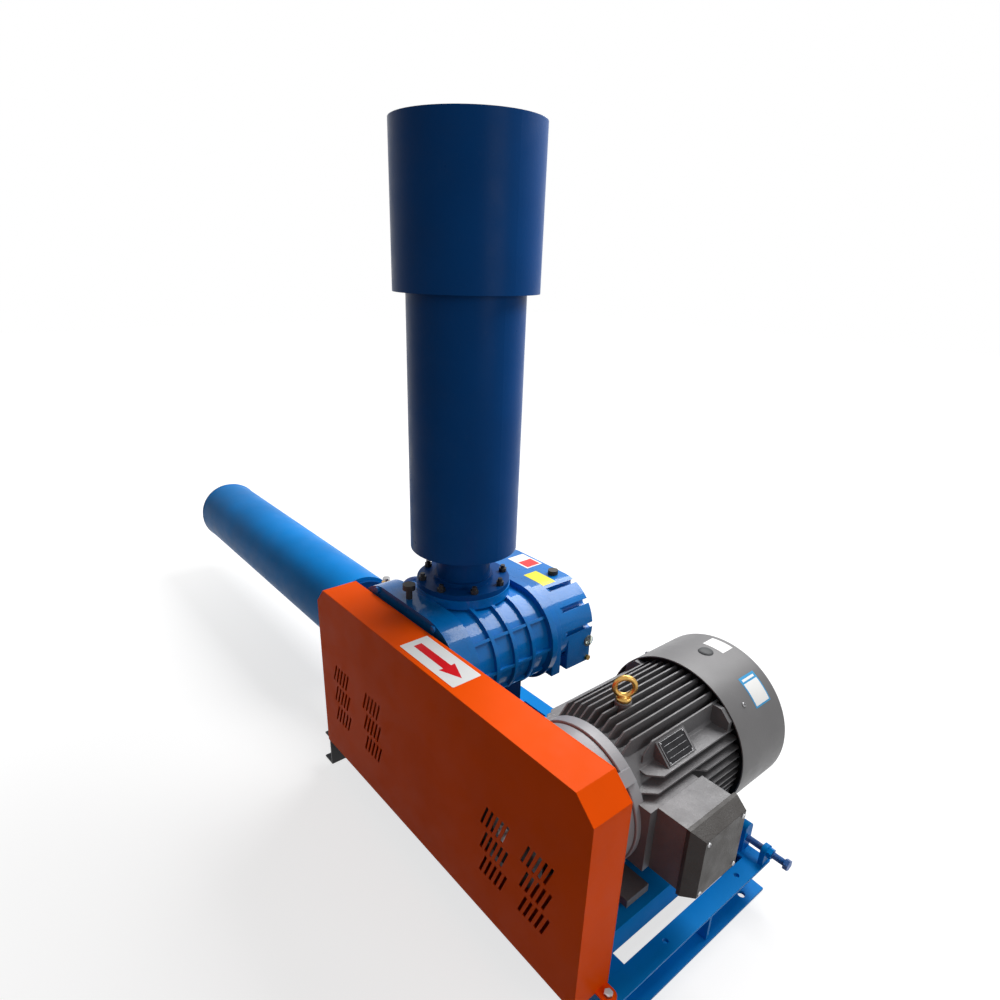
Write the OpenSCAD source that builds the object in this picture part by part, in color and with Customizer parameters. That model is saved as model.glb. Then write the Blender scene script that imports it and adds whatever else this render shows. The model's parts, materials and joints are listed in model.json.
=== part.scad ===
// Belt-driven three-lobe roots blower on a welded channel base, with its foot motor,
// belt guard, intake silencer with rain hood, and discharge silencer.
// Origin: middle of the four anchor holes, on the floor. +X runs from the blower to the
// motor, +Y from the belts to the timing gears, +Z up.

/* [Base] */
// Length of the channel base
base_len = 982; // [940:1:1100]
// Width of the channel base, across the shafts
base_w = 573; // [560:1:620]
// Height of the channels
base_h = 100; // [80:1:120]
// Flange width of the channels
flange_w = 46; // [40:1:50]
// Web thickness of the channels
web_t = 6; // [4:0.5:8]
// Flange thickness of the channels, at mid width
flange_t = 8.5; // [6:0.5:10]
// Diameter of the anchor holes
anchor_d = 18; // [12:1:22]
// Distance of the anchor holes from the two long sides
anchor_in = 60; // [55:1:90]
// Thickness of the stiffener in the end channel
stiff_t = 8; // [5:0.5:12]

/* [Belt guard] */
// Reach of the guard past the web of the motor-end channel
guard_past = 4; // [2:0.5:8]
// Overhang of the guard past the blower end of the base
guard_over = 60; // [45:1:70]
// Height of the belt guard
guard_h = 505; // [490:1:540]
// Depth of the belt guard, back plate included
guard_d = 98; // [94:1:102]
// Height of the chamfer at both upper corners
cham_h = 44; // [20:1:60]
// Width of the chamfer at the motor end
cham_r = 45; // [20:1:60]
// Width of the chamfer at the blower end
cham_l = 37; // [20:1:60]
// Sheet thickness of the guard
sheet_t = 2; // [1.5:0.5:3]
// Length of one louvre slot
slot_len = 58; // [30:1:80]
// Width of one louvre slot
slot_w = 7; // [4:0.5:9]
// Slots in each louvre group
slot_n = 5; // [3:1:6]
// Radius of the bolted ear at each end of the guard
ear_r = 17; // [14:0.5:20]
// Bolt diameter of the ears
ear_bolt = 10; // [8:1:12]

/* [Blower] */
// Distance of the blower's centre line from the blower end of the base
blower_end = 202; // [196:1:206]
// Height of the rotor shafts above the floor
blower_h = 494; // [486:1:500]
// Distance of the blower's drive end from the guard
blower_gap = 13; // [11:0.5:16]
// Spacing of the two rotor shafts
shaft_gap = 160; // [156:1:162]
// Length of the rotors
rotor_len = 270; // [264:1:272]
// Gap between each rotor and the true rolling profile
rotor_clear = 0.25; // [0.2:0.05:0.4]
// Gap between the rotor tips and the casing
tip_clear = 0.3; // [0.2:0.05:0.5]
// Radius of the casing's rounded ends
body_r = 118; // [116:1:122]
// Radius of the end flanges' rounded ends
end_r = 134.5; // [132:0.5:140]
// Width added to each side of the casing outside the shafts
side_add = 14.5; // [12:0.5:18]
// Thickness of the casing's end flanges
end_t = 18; // [14:1:24]
// Thickness of the end plate at the drive end
drive_t = 46; // [40:1:50]
// Thickness of the end plate at the gear end
gear_t = 30; // [26:1:34]
// Length of the gear cover
cover_len = 116; // [100:1:125]
// Radius of the gear cover's rounded ends
cover_r = 118; // [114:1:122]
// Rise of the gear cover above the shafts
cover_up = 6; // [0:1:10]
// Wall of the gear cover
cover_wall = 8; // [6:1:12]
// Length of the squared oil sump below the gear cover
sump_len = 86; // [70:1:95]
// Diameter of the two rotor shafts
rotor_shaft = 45; // [38:1:48]
// Outer diameter of the shaft bearings
bearing_d = 100; // [90:1:104]
// Width of the shaft bearings
bearing_w = 25; // [20:1:28]
// Teeth of each timing gear
gear_teeth = 32; // [28:1:36]
// Face width of the timing gears
gear_w = 46; // [36:1:60]
// Lobes of each rotor
lobes = 3; // [2:1:3]
// Bolts round each rounded end of the end plates
plate_bolts = 5; // [4:1:6]
// Diameter of the end plate bolts
plate_bolt = 10; // [8:1:12]

/* [Intake] */
// Radius of the casing's inlet flange
inlet_fr = 122; // [116:1:126]
// Height of the inlet flange's top above the shafts
inlet_up = 146; // [140:1:156]
// Thickness of the inlet flange
inlet_ft = 24; // [18:1:28]
// Outer radius of the inlet neck
neck_r = 69; // [62:1:75]
// Height of the neck between flange and silencer
neck_h = 103; // [90:1:120]
// Outer radius of the intake silencer
intake_r = 134.6; // [128:0.1:145]
// Height of the intake silencer's shell
intake_h = 720; // [680:1:760]
// Outer radius of the rain hood
hood_r = 163.4; // [155:0.1:180]
// Height of the rain hood
hood_h = 326; // [300:1:360]
// Distance of the hood's lower edge above the silencer's base
hood_up = 605; // [580:1:640]
// Wall of the neck and of the discharge pipe
pipe_t = 5; // [4:0.5:8]
// Wall of the silencer shells
shell_t = 3; // [2:0.5:4]

/* [Discharge] */
// Height of the discharge axis above the floor
out_h = 295; // [288:1:296]
// Outer radius of the discharge pipe
pipe_r = 70; // [64:1:72]
// Length of the outlet stub on the discharge box
stub_len = 160; // [155:1:190]
// Length of the discharge pipe from the stub to the silencer
pipe_len = 309; // [290:1:340]
// Radius of the flanges between stub and pipe
joint_r = 119; // [116:1:124]
// Thickness of the flanges between stub and pipe
joint_t = 16; // [12:1:20]
// Outer radius of the discharge silencer
out_r = 130; // [126:1:136]
// Length of the discharge silencer's shell
out_len = 1233; // [1100:1:1300]
// Radius of the outlet flange
flange_r = 125; // [122:1:135]
// Thickness of the outlet flange
out_ft = 20; // [16:1:26]
// Pitch circle of the outlet flange's holes
out_pcd = 210; // [205:1:214]
// Holes in the outlet flange
out_holes = 8; // [6:1:12]
// Diameter of the outlet flange's holes
out_hole = 18; // [14:1:20]
// Bore of the outlet
out_bore = 125; // [110:1:130]
// Wall of the discharge box under the casing
box_t = 8; // [6:1:12]
// Distance of the relief valve from the discharge box
valve_in = 300; // [235:1:340]

/* [Motor] */
// Distance of the motor shaft from the motor end of the base
motor_end = 269.5; // [266:0.5:276]
// Shaft height of the motor above its feet
motor_h = 180; // [178:1:184]
// Distance between the foot holes, across the shaft
foot_a = 279; // [275:1:285]
// Distance between the foot holes, along the shaft
foot_b = 279; // [260:1:300]
// Diameter of the foot bolts
foot_bolt = 14; // [12:1:16]
// Thickness of the motor feet
foot_t = 20; // [16:1:26]
// Radius of the fan cowl
cowl_r = 196; // [190:1:200]
// Length of the fan cowl
cowl_len = 194; // [170:1:210]
// Radius round the tips of the cooling fins
fin_r = 188; // [182:1:192]
// Thickness of a cooling fin
fin_t = 4; // [3:0.5:5]
// Spacing of the cooling fins
fin_gap = 15; // [12:0.5:18]
// Radius of the motor's barrel
barrel_r = 148; // [144:1:154]
// Length of the motor's barrel
barrel_len = 420; // [400:1:430]
// Diameter of the motor shaft's end
motor_shaft_d = 48; // [42:1:55]
// Blades of the motor's fan
fan_blades = 8; // [5:1:10]
// Height of the slide rails under the motor
rail_h = 66; // [60:1:75]
// Width of the slide rails under the motor
rail_w = 108; // [100:1:112]
// Wall of the slide rails
rail_t = 8; // [6:1:10]
// Width of the terminal box, along the shaft
tbox_w = 150; // [130:1:160]
// Height of the terminal box
tbox_h = 160; // [140:1:170]
// Distance of the terminal box's lid from the shaft
tbox_out = 288; // [275:1:300]

/* [Belt drive] */
// Pitch diameter of the blower's pulley
blower_pd = 170; // [150:1:185]
// Pitch diameter of the motor's pulley
motor_pd = 200; // [180:1:224]
// Belts in the drive
belt_n = 3; // [2:1:3]
// Spacing of the belts
belt_gap = 19; // [18:0.5:20]
// Top width of a belt
belt_w = 16.3; // [14:0.1:16.5]
// Height of a belt
belt_t = 13; // [10:0.5:14]

/* [Belt tension] */
// Diameter of the jack screw
jack_d = 16; // [12:1:18]
// Height of the jack screw above the base
jack_up = 35; // [32:1:40]
// Free length of the jack screw outside the bracket
jack_free = 30; // [25:1:60]
// Travel of the motor towards the blower
slide_travel = 20; // [10:1:25]

/* [Hidden] */
$fn = 96;

// Play of a shaft in its bearing, on the radius
run = 0.05;
// Gap between pieces that seat on each other's curved faces
seat = 0.1;
// Gap between pieces that move past each other
pass = 0.5;

// Base
web_x = base_len / 2 - flange_w;
beam_y = base_w / 2;
anchor_x = base_len / 2 - flange_w / 2;
anchor_y = base_w / 2 - anchor_in;

// Guard
guard_x0 = -base_len / 2 - guard_over;
guard_x1 = web_x + guard_past;
guard_len = guard_x1 - guard_x0;
guard_yb = -beam_y + 38;
guard_yf = guard_yb - guard_d;
back_t = sheet_t + 1;

// Blower
half = shaft_gap / 2;
out_half = half + side_add;
roll_r = half / (2 * lobes);
tip_r = half + 2 * roll_r - rotor_clear;
bore_r = tip_r + tip_clear;
bx = -base_len / 2 + blower_end;
bz = blower_h;
plate_y0 = guard_yb + blower_gap;
cas_y0 = plate_y0 + drive_t;
cas_y1 = cas_y0 + rotor_len;
by = cas_y0 + rotor_len / 2;
gear_y0 = cas_y1 + gear_t;
cover_y1 = gear_y0 + cover_len;
shaft_r = rotor_shaft / 2;
side_x = bx + out_half + cover_r;
sump_y1 = cover_y1 - 4;
sump_z = bz - 94;
foot_ring = 14;
pocket_r = plate_bolt + 1;
cap_t = 8;
inlet_z = bz + inlet_up;
neck_ft = 14;
inlet_bolt = 6;
sil_z = inlet_z + neck_h;
hood_z = sil_z + hood_up;
core_r = 76;

// Discharge
box_y0 = plate_y0 + 4;
box_y1 = cas_y1 + 3;
box_x0 = bx - out_half + 1;
box_z1 = bz - end_r;
port_w = 110;
port_l = 150;
stub_x = box_x0 - stub_len;
sil_x1 = stub_x - pipe_len;
joint_pcr = joint_r - 20;
joint_bolt = 6;
sil_x0 = sil_x1 - out_len;
valve_x = box_x0 - valve_in;
valve_z = out_h + pipe_r + 30;

// Motor
mx = base_len / 2 - motor_end;
mz = base_h + rail_h + motor_h;
shoulder_y = -beam_y + 55;
foot_y0 = shoulder_y + 121;
bar_y0 = shoulder_y + 35;
bar_y1 = bar_y0 + barrel_len;
foot_x = foot_a / 2;
rail_y0 = guard_yb + 3;
msh_r = motor_shaft_d / 2;
bell_r = 166;
tb_y = shoulder_y + 219;
tb_z = mz - 11;
lid_t = 38;

// Belts
belt_y = guard_yb - 50;
pul_w = (belt_n - 1) * belt_gap + 25;
pul_y0 = belt_y - pul_w / 2;
drive_dx = mx - (bx - half);
drive_dz = mz - bz;
drive_c = sqrt(drive_dx * drive_dx + drive_dz * drive_dz);
drive_a = atan2(drive_dz, drive_dx);
wrap_a = asin((motor_pd - blower_pd) / 2 / drive_c);

// Jack screw
jack_y = beam_y - 16.5;
jack_z = base_h + jack_up;
jack_r = jack_d / 2;
lug_x0 = mx + foot_x + rail_w / 2;
lug_t = 19;
brk_x0 = base_len / 2 - 15;
brk_t = 12;

// Extrusions of a flat outline: X-Z outline along +Y, Y-Z outline along +X
module along_y(y, h) translate([0, y + h, 0]) rotate([90, 0, 0]) linear_extrude(h) children();
module along_x(x, h) translate([x, 0, 0]) rotate([90, 0, 90]) linear_extrude(h) children();
module rod_y(x, y, z, r, l) translate([x, y, z]) rotate([-90, 0, 0]) cylinder(r = r, h = l);
module rod_x(x, y, z, r, l) translate([x, y, z]) rotate([0, 90, 0]) cylinder(r = r, h = l);
module rod_z(x, y, z, r, l) translate([x, y, z]) cylinder(r = r, h = l);
module hex_z(x, y, z, d, l) translate([x, y, z]) cylinder(d = d, h = l, $fn = 6);
module hex_y(x, y, z, d, l)
  translate([x, y, z]) rotate([-90, 0, 0]) cylinder(d = d, h = l, $fn = 6);
module hex_x(x, y, z, d, l)
  translate([x, y, z]) rotate([0, 90, 0]) cylinder(d = d, h = l, $fn = 6);

// Two round ends joined by a straight block
module stadium(h, r) {
  translate([-h, 0]) circle(r);
  translate([h, 0]) circle(r);
  square([2 * h, 2 * r], center = true);
}

// Rolled channel outline, web at x = 0, flanges towards +x
module channel() polygon([[0, 0], [flange_w, 0], [flange_w, flange_t - 2],
  [web_t + 4, flange_t + 1], [web_t, flange_t + 4], [web_t, base_h - flange_t - 4],
  [web_t + 4, base_h - flange_t - 1], [flange_w, base_h - flange_t + 2],
  [flange_w, base_h], [0, base_h]]);

module anchor_hole(x, y) rod_z(x, y, -1, anchor_d / 2, flange_t + 6);

module frame_front_channel() color("royalblue")
  translate([-web_x, -beam_y, 0]) along_x(0, 2 * web_x) channel();

module frame_rear_channel() color("royalblue")
  mirror([0, 1, 0]) translate([-web_x, -beam_y, 0]) along_x(0, 2 * web_x) channel();

module frame_end_channel() color("royalblue") {
  difference() {
    translate([web_x, 0, 0]) along_y(-beam_y, base_w) channel();
    rod_z(ear_rt[0], ear_rt[1], base_h - 20, ear_bolt / 2 + 0.5, 22);
    for (s = [-1, 1]) anchor_hole(anchor_x, s * anchor_y);
    for (s = [-1, 1]) rod_z(anchor_x - 3, 48 + s * 134, base_h - flange_t - 6, 6.5, flange_t + 8);
  }
  translate([web_x + web_t, 53, flange_t + 1])
    cube([flange_w - web_t - 6, stiff_t, base_h - 2 * flange_t - 2]);
}

module frame_left_channel() color("royalblue") difference() {
  mirror([1, 0, 0]) translate([web_x, 0, 0]) along_y(-beam_y, base_w) channel();
  for (s = [-1, 1]) anchor_hole(-anchor_x, s * anchor_y);
}

module frame_cross_channels() color("royalblue") {
  l = 2 * (beam_y - flange_w);
  translate([box_x0, 0, 0]) along_y(-beam_y + flange_w, l) channel();
  mirror([1, 0, 0]) translate([-bx - out_half, 0, 0]) along_y(-beam_y + flange_w, l) channel();
}

module frame_inner_channel() color("royalblue")
  mirror([0, 1, 0]) translate([bx + out_half, beam_y - 2 * flange_w, 0])
    along_x(0, web_x - bx - out_half) channel();

// Black leg under the guard's free end
module guard_leg() color("dimgray") {
  leg_y = guard_yf + 7;
  difference() {
    union() {
      translate([guard_x0 - 9, leg_y, 0]) cube([5, 45, base_h]);
      translate([guard_x0 - 48, leg_y, 0]) cube([40, 45, 5]);
      translate([guard_x0 - 36, leg_y, base_h - 5]) cube([28, 45, 5]);
    }
    rod_z(guard_x0 - ear_r, leg_y + 22.5, base_h - 6, ear_bolt / 2 + 0.5, 8);
    rod_z(guard_x0 - 30, leg_y + 22.5, -1, ear_bolt / 2 + 0.5, 8);
  }
}

module round_lug(x, t, w, rise) along_x(x, t) difference() {
  union() {
    translate([jack_y - w / 2, base_h]) square([w, jack_up + rise - w / 2]);
    translate([jack_y, base_h + jack_up + rise - w / 2]) circle(w / 2);
  }
}

module jack_bracket() color("royalblue") difference() {
  union() {
    round_lug(brk_x0, brk_t, 33, 16);
    hex_x(brk_x0 + brk_t, jack_y, jack_z, jack_d * 1.7, 12);
  }
  rod_x(brk_x0 - 1, jack_y, jack_z, jack_r + run, brk_t + 14);
}

// Welded box that carries the casing and turns the air to the discharge pipe
module outlet_pedestal() color("navy") difference() {
  union() {
    translate([box_x0, box_y0, base_h])
      cube([2 * (bx - box_x0), box_y1 - box_y0, box_z1 - base_h]);
    rod_x(stub_x, by, out_h, pipe_r, stub_len + 1);
    rod_x(stub_x, by, out_h, joint_r, joint_t);
  }
  translate([box_x0 + box_t, box_y0 + box_t, base_h + box_t])
    cube([2 * (bx - box_x0 - box_t), box_y1 - box_y0 - 2 * box_t,
      box_z1 - base_h - 2 * box_t]);
  translate([bx - port_w / 2, by - port_l / 2, box_z1 - box_t - 1])
    cube([port_w, port_l, box_t + 2]);
  rod_x(stub_x - 1, by, out_h, pipe_r - pipe_t, stub_len + 2 + box_t);
  joint_ring() rod_x(stub_x - 1, by + joint_pcr, out_h, joint_bolt + seat, joint_t + 2);
}

// Eight bolt places round the discharge axis
module joint_ring() for (i = [0:7]) rotate_about_x(by, out_h, 45 * i + 22.5) children();

module rotate_about_x(y, z, a)
  translate([0, y, z]) rotate([a, 0, 0]) translate([0, -y, -z]) children();

// Bolt centres round the end plates, as [x, z]
plate_spots = [for (s = [-1, 1]) for (i = [0:plate_bolts - 1])
  let (a = -75 + 150 * i / (plate_bolts - 1))
  [bx + s * (out_half + (end_r - 10) * cos(a)), bz + (end_r - 10) * sin(a)]];
cover_spots = [for (s = [-1, 1]) for (i = [0:plate_bolts - 1])
  let (a = -60 + 130 * i / (plate_bolts - 1))
  [bx + s * (out_half + (cover_r - 9) * cos(a)), bz + cover_up + (cover_r - 9) * sin(a)]];

module blower_casing() color("dodgerblue") difference() {
  union() {
    along_y(cas_y0, rotor_len) translate([bx, bz]) stadium(out_half, body_r);
    for (y = [cas_y0, cas_y1 - end_t])
      along_y(y, end_t) translate([bx, bz]) stadium(out_half, end_r);
    for (i = [1:3]) along_y(cas_y0 + end_t + i * (rotor_len - 2 * end_t) / 4 - 5, 10)
      translate([bx, bz]) stadium(out_half, (body_r + end_r) / 2 + 1);
    for (s = [-1, 1]) for (a = [-35, 0, 40]) rib_y(s, a);
    rod_z(bx, by, bz + body_r / 2, inlet_fr - 24, inlet_up - body_r / 2);
    rod_z(bx, by, inlet_z - inlet_ft, inlet_fr, inlet_ft);
    translate([bx - port_w / 2 - 22, by - port_l / 2 - 22, box_z1])
      cube([port_w + 44, port_l + 44, body_r / 2]);
  }
  for (s = [-1, 1]) rod_y(bx + s * half, cas_y0 - 1, bz, bore_r, rotor_len + 2);
  rod_z(bx, by, bz, neck_r - pipe_t, inlet_up + 1);
  translate([bx - port_w / 2, by - port_l / 2, box_z1 - 1]) cube([port_w, port_l, body_r]);
  for (p = plate_spots) {
    rod_y(p[0], cas_y0 - 1, p[1], plate_bolt / 2 + seat, end_t + 2);
  }
  for (i = [0:7]) rotate_about_z(bx, by, 45 * i + 22.5)
    rod_z(bx + inlet_fr - 14, by, inlet_z - inlet_ft - 1, inlet_bolt + seat, inlet_ft + 2);
}

module rotate_about_z(x, y, a)
  translate([x, y, 0]) rotate([0, 0, a]) translate([-x, -y, 0]) children();

// One lengthwise stiffening rib of the casing
module rib_y(s, a) translate([bx + s * out_half, cas_y0 + 1, bz])
  mirror([s < 0 ? 1 : 0, 0, 0]) rotate([0, -a, 0])
  translate([body_r - 6, 0, -4]) cube([14, rotor_len - 2, 8]);

module drive_end_plate() color("dodgerblue") difference() {
  along_y(plate_y0, drive_t) translate([bx, bz]) stadium(out_half, end_r);
  for (s = [-1, 1]) {
    rod_y(bx + s * half, plate_y0 - 1, bz, bearing_d / 2, bearing_w + 4);
    rod_y(bx + s * half, plate_y0, bz, shaft_r + 1, drive_t + 1);
  }
  for (p = plate_spots) rod_y(p[0], plate_y0 - 1, p[1], plate_bolt / 2 + seat, drive_t + 2);
}

module gear_end_plate() color("dodgerblue") difference() {
  union() {
    along_y(cas_y1, gear_t) translate([bx, bz + cover_up]) stadium(out_half, cover_r);
    translate([bx - out_half - cover_r, cas_y1, sump_z])
      cube([2 * (out_half + cover_r), gear_t, bz + cover_up - sump_z]);
  }
  for (s = [-1, 1]) {
    rod_y(bx + s * half, gear_y0 - bearing_w - 2, bz, bearing_d / 2, bearing_w + 3);
    rod_y(bx + s * half, cas_y1 - 1, bz, shaft_r + 1, gear_t + 2);
  }
  for (p = cover_spots) rod_y(p[0], cas_y1 + 6, p[1], plate_bolt / 2 + seat, gear_t);
}

module gear_cover() color("dodgerblue") difference() {
  union() {
    along_y(gear_y0, cover_len) translate([bx, bz + cover_up]) stadium(out_half, cover_r);
    translate([bx - out_half - cover_r, sump_y1 - sump_len, sump_z])
      cube([2 * (out_half + cover_r), sump_len, bz + cover_up - sump_z]);
    for (s = [-1, 1]) rod_y(bx + s * half, cover_y1 - 1, bz, 42, 5);
  }
  along_y(gear_y0 - 1, cover_len - cover_wall + 1) translate([bx, bz + cover_up])
    stadium(out_half, cover_r - 12 - pocket_r);
  translate([side_x - 12, sump_y1 - 9, bz - 31]) rotate([0, 90, 0]) cylinder(r = 10, h = 14);
  translate([side_x - 12, sump_y1 - 9, sump_z + 11]) rotate([0, 90, 0]) cylinder(r = 6, h = 14);
  rod_z(bx + half, cover_y1 - 30, bz, 10, cover_r + 20);
  for (p = cover_spots) {
    rod_y(p[0], gear_y0 - 1, p[1], plate_bolt / 2 + seat, cover_len + 2);
    rod_y(p[0], gear_y0 + foot_ring, p[1], pocket_r, cover_len);
  }
}

module bearing_covers() color("steelblue") for (s = [-1, 1]) difference() {
  rod_y(bx + s * half, plate_y0 - cap_t, bz, bearing_d / 2 + 14, cap_t);
  if (s < 0) rod_y(bx - half, plate_y0 - cap_t - 1, bz, shaft_r + 1, cap_t + 2);
  else rod_y(bx + half, plate_y0 - cap_t + 3, bz, shaft_r + 1, cap_t);
}

module rotor_bearings() color("silver") for (s = [-1, 1])
  for (y = [plate_y0 + 3, gear_y0 - bearing_w - 2]) difference() {
    rod_y(bx + s * half, y, bz, bearing_d / 2 - seat, bearing_w);
    rod_y(bx + s * half, y - 1, bz, shaft_r + run, bearing_w + 2);
  }

module sight_glass() color("lightcyan") translate([side_x, sump_y1 - 9, bz - 31])
  rotate([0, 90, 0]) {
    cylinder(r = 16, h = 4);
    translate([0, 0, -8]) cylinder(r = 9.8, h = 9);
  }

module drain_plug() color("darkgoldenrod") translate([side_x, sump_y1 - 9, sump_z + 11])
  rotate([0, 90, 0]) {
    cylinder(d = 16, h = 8, $fn = 6);
    translate([0, 0, -8]) cylinder(r = 5.8, h = 9);
  }

module filler_cap() color("dimgray") {
  z = bz + cover_up + cover_r;
  rod_z(bx + half, cover_y1 - 30, z - 10, 9.8, 14);
  rod_z(bx + half, cover_y1 - 30, z + seat, 14, 12);
}

module breather_cap() color("dimgray") {
  z = bz + end_r;
  rod_z(bx - 15, plate_y0 + 23, z + seat, 8, 30);
  rod_z(bx - 15, plate_y0 + 23, z + 26, 16, 14);
}

module casing_bolts() color("slategray") {
  for (p = plate_spots) {
    hex_y(p[0], plate_y0 - 6.5, p[1], plate_bolt * 1.8, 6.5);
    rod_y(p[0], plate_y0 - 1, p[1], plate_bolt / 2, drive_t + 12);
  }
  for (p = cover_spots) {
    hex_y(p[0], gear_y0 + foot_ring, p[1], plate_bolt * 1.8, 6.5);
    rod_y(p[0], gear_y0 - gear_t + 10, p[1], plate_bolt / 2, gear_t + foot_ring - 9);
  }
}

module inlet_neck() color("navy") difference() {
  union() {
    rod_z(bx, by, inlet_z, inlet_fr - 2, neck_ft);
    rod_z(bx, by, inlet_z, neck_r, neck_h);
    rod_z(bx, by, inlet_z + neck_ft, neck_r + 8, 10);
  }
  rod_z(bx, by, inlet_z - 1, neck_r - pipe_t, neck_h + 2);
  for (i = [0:7]) rotate_about_z(bx, by, 45 * i + 22.5)
    rod_z(bx + inlet_fr - 14, by, inlet_z - 1, inlet_bolt + seat, neck_ft + 2);
}

module inlet_bolts() color("slategray") for (i = [0:7])
  rotate_about_z(bx, by, 45 * i + 22.5) {
    x = bx + inlet_fr - 14;
    hex_z(x, by, inlet_z + neck_ft, inlet_bolt * 3.5, 10);
    rod_z(x, by, inlet_z - inlet_ft + 2, inlet_bolt, inlet_ft + neck_ft + 16);
  }

module inlet_silencer() color("navy") difference() {
  rod_z(bx, by, sil_z, intake_r, intake_h);
  rod_z(bx, by, sil_z + 6, intake_r - shell_t, intake_h - 12);
  rod_z(bx, by, sil_z - 1, neck_r - pipe_t, 8);
  rod_z(bx, by, sil_z + intake_h - 7, core_r, 8);
}

// Perforated inner tube of a silencer, standing along Z
module core_tube(l, r) difference() {
  cylinder(r = r, h = l);
  translate([0, 0, -1]) cylinder(r = r - 2, h = l + 2);
  for (i = [1:floor(l / 90)]) for (a = [0:60:120]) rotate([0, 0, a + 30 * (i % 2)])
    translate([0, 0, i * 90 - 30]) rotate([90, 0, 0]) cylinder(r = 12, h = 3 * r, center = true);
}

module inlet_core() color("silver")
  translate([bx, by, sil_z + 6]) core_tube(intake_h - 12, core_r);

module inlet_hood() color("navy") difference() {
  rod_z(bx, by, hood_z, hood_r, hood_h);
  rod_z(bx, by, hood_z - 1, hood_r - shell_t, hood_h - shell_t + 1);
}

// Pleated intake filter on top of the silencer
module filter_element() color("white") {
  z = sil_z + intake_h;
  difference() {
    translate([bx, by, z + 8]) linear_extrude(hood_z + hood_h - shell_t - z - 16)
      polygon([for (i = [0:71]) let (r = i % 2 == 0 ? intake_r - 14 : intake_r - 34)
        [r * cos(5 * i), r * sin(5 * i)]]);
    rod_z(bx, by, z, core_r + 12, hood_h);
  }
  for (q = [z, hood_z + hood_h - shell_t - 8]) difference() {
    rod_z(bx, by, q, intake_r - 10, 8);
    rod_z(bx, by, q - 1, core_r + 6, q > z ? 0.5 : 10);
  }
}

module discharge_pipe() color("navy") difference() {
  union() {
    rod_x(sil_x1, by, out_h, pipe_r, pipe_len);
    rod_x(stub_x - joint_t, by, out_h, joint_r, joint_t);
    rod_x(sil_x1, by, out_h, joint_r, joint_t);
    rod_z(valve_x, by, out_h, 16, valve_z - out_h);
  }
  rod_x(sil_x1 - 1, by, out_h, pipe_r - pipe_t, pipe_len + 2);
  rod_z(valve_x, by, out_h, 11, valve_z - out_h + 1);
  joint_ring() rod_x(stub_x - joint_t - 1, by + joint_pcr, out_h, joint_bolt + seat, joint_t + 2);
}

module discharge_bolts() color("slategray") joint_ring() {
  rod_x(stub_x - joint_t - 1, by + joint_pcr, out_h, joint_bolt, 2 * joint_t + 2);
  hex_x(stub_x - joint_t - 8, by + joint_pcr, out_h, joint_bolt * 3.5, 8);
  hex_x(stub_x + joint_t, by + joint_pcr, out_h, joint_bolt * 3.5, 9);
}

module discharge_silencer() color("dodgerblue") difference() {
  rod_x(sil_x0, by, out_h, out_r, out_len);
  rod_x(sil_x0 + 6, by, out_h, out_r - shell_t, out_len - 12);
  rod_x(sil_x1 - 7, by, out_h, pipe_r - pipe_t, 8);
  rod_x(sil_x0 - 1, by, out_h, out_bore / 2, 8);
}

module discharge_core() color("silver")
  translate([sil_x0 + 6, by, out_h]) rotate([0, 90, 0])
    core_tube(out_len - 12, pipe_r - pipe_t + 3);

module outlet_flange() color("dimgray") difference() {
  rod_x(sil_x0 - out_ft, by, out_h, flange_r, out_ft);
  rod_x(sil_x0 - out_ft - 1, by, out_h, out_bore / 2, out_ft + 2);
  for (i = [0:out_holes - 1]) rotate_about_x(by, out_h, 360 * (i + 0.5) / out_holes)
    rod_x(sil_x0 - out_ft - 1, by + out_pcd / 2, out_h, out_hole / 2, out_ft + 2);
}

// Spring-loaded relief valve on the discharge pipe
module valve_body() color("goldenrod") difference() {
  union() {
    rod_z(valve_x, by, valve_z, 24, 22);
    rod_z(valve_x, by, valve_z + 22, 20, 50);
    rod_z(valve_x, by, valve_z + 72, 15, 12);
  }
  rod_z(valve_x, by, valve_z - 1, 11, 20);
  rod_z(valve_x, by, valve_z + 12, 16, 54);
  rod_z(valve_x, by, valve_z + 60, 4.1, 30);
  for (a = [0:60:300]) translate([valve_x, by, valve_z + 44]) rotate([0, 90, a])
    cylinder(r = 6, h = 30);
}

module valve_disc() color("silver") {
  rod_z(valve_x, by, valve_z + 12.3, 15, 6);
  rod_z(valve_x, by, valve_z + 15, 4, 82);
  rod_z(valve_x, by, valve_z + 92, 11, 6);
}

function guard_pts(t) = [[guard_x0 + t, base_h + t], [guard_x1 - t, base_h + t],
  [guard_x1 - t, base_h + guard_h - cham_h - t * 0.42],
  [guard_x1 - cham_r - t * 0.42, base_h + guard_h - t],
  [guard_x0 + cham_l + t * 0.42, base_h + guard_h - t],
  [guard_x0 + t, base_h + guard_h - cham_h - t * 0.42]];

// Middle of each louvre group, measured from the guard's left end
louvre_x = [110, 268, guard_len - 247, guard_len - 123];

module ear(x, y) translate([x, y, base_h]) difference() {
  union() {
    cylinder(r = ear_r, h = 4);
    translate([x < 0 ? 0 : -ear_r - 8, -ear_r, 0]) cube([ear_r + 8, 2 * ear_r, 4]);
  }
  translate([0, 0, -1]) cylinder(d = ear_bolt + 1, h = 6);
}

ear_l = [guard_x0 - ear_r, guard_yf + 29.5];
ear_rt = [guard_x1 + ear_r + 2, guard_yb - back_t - ear_r - 1];

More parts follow.
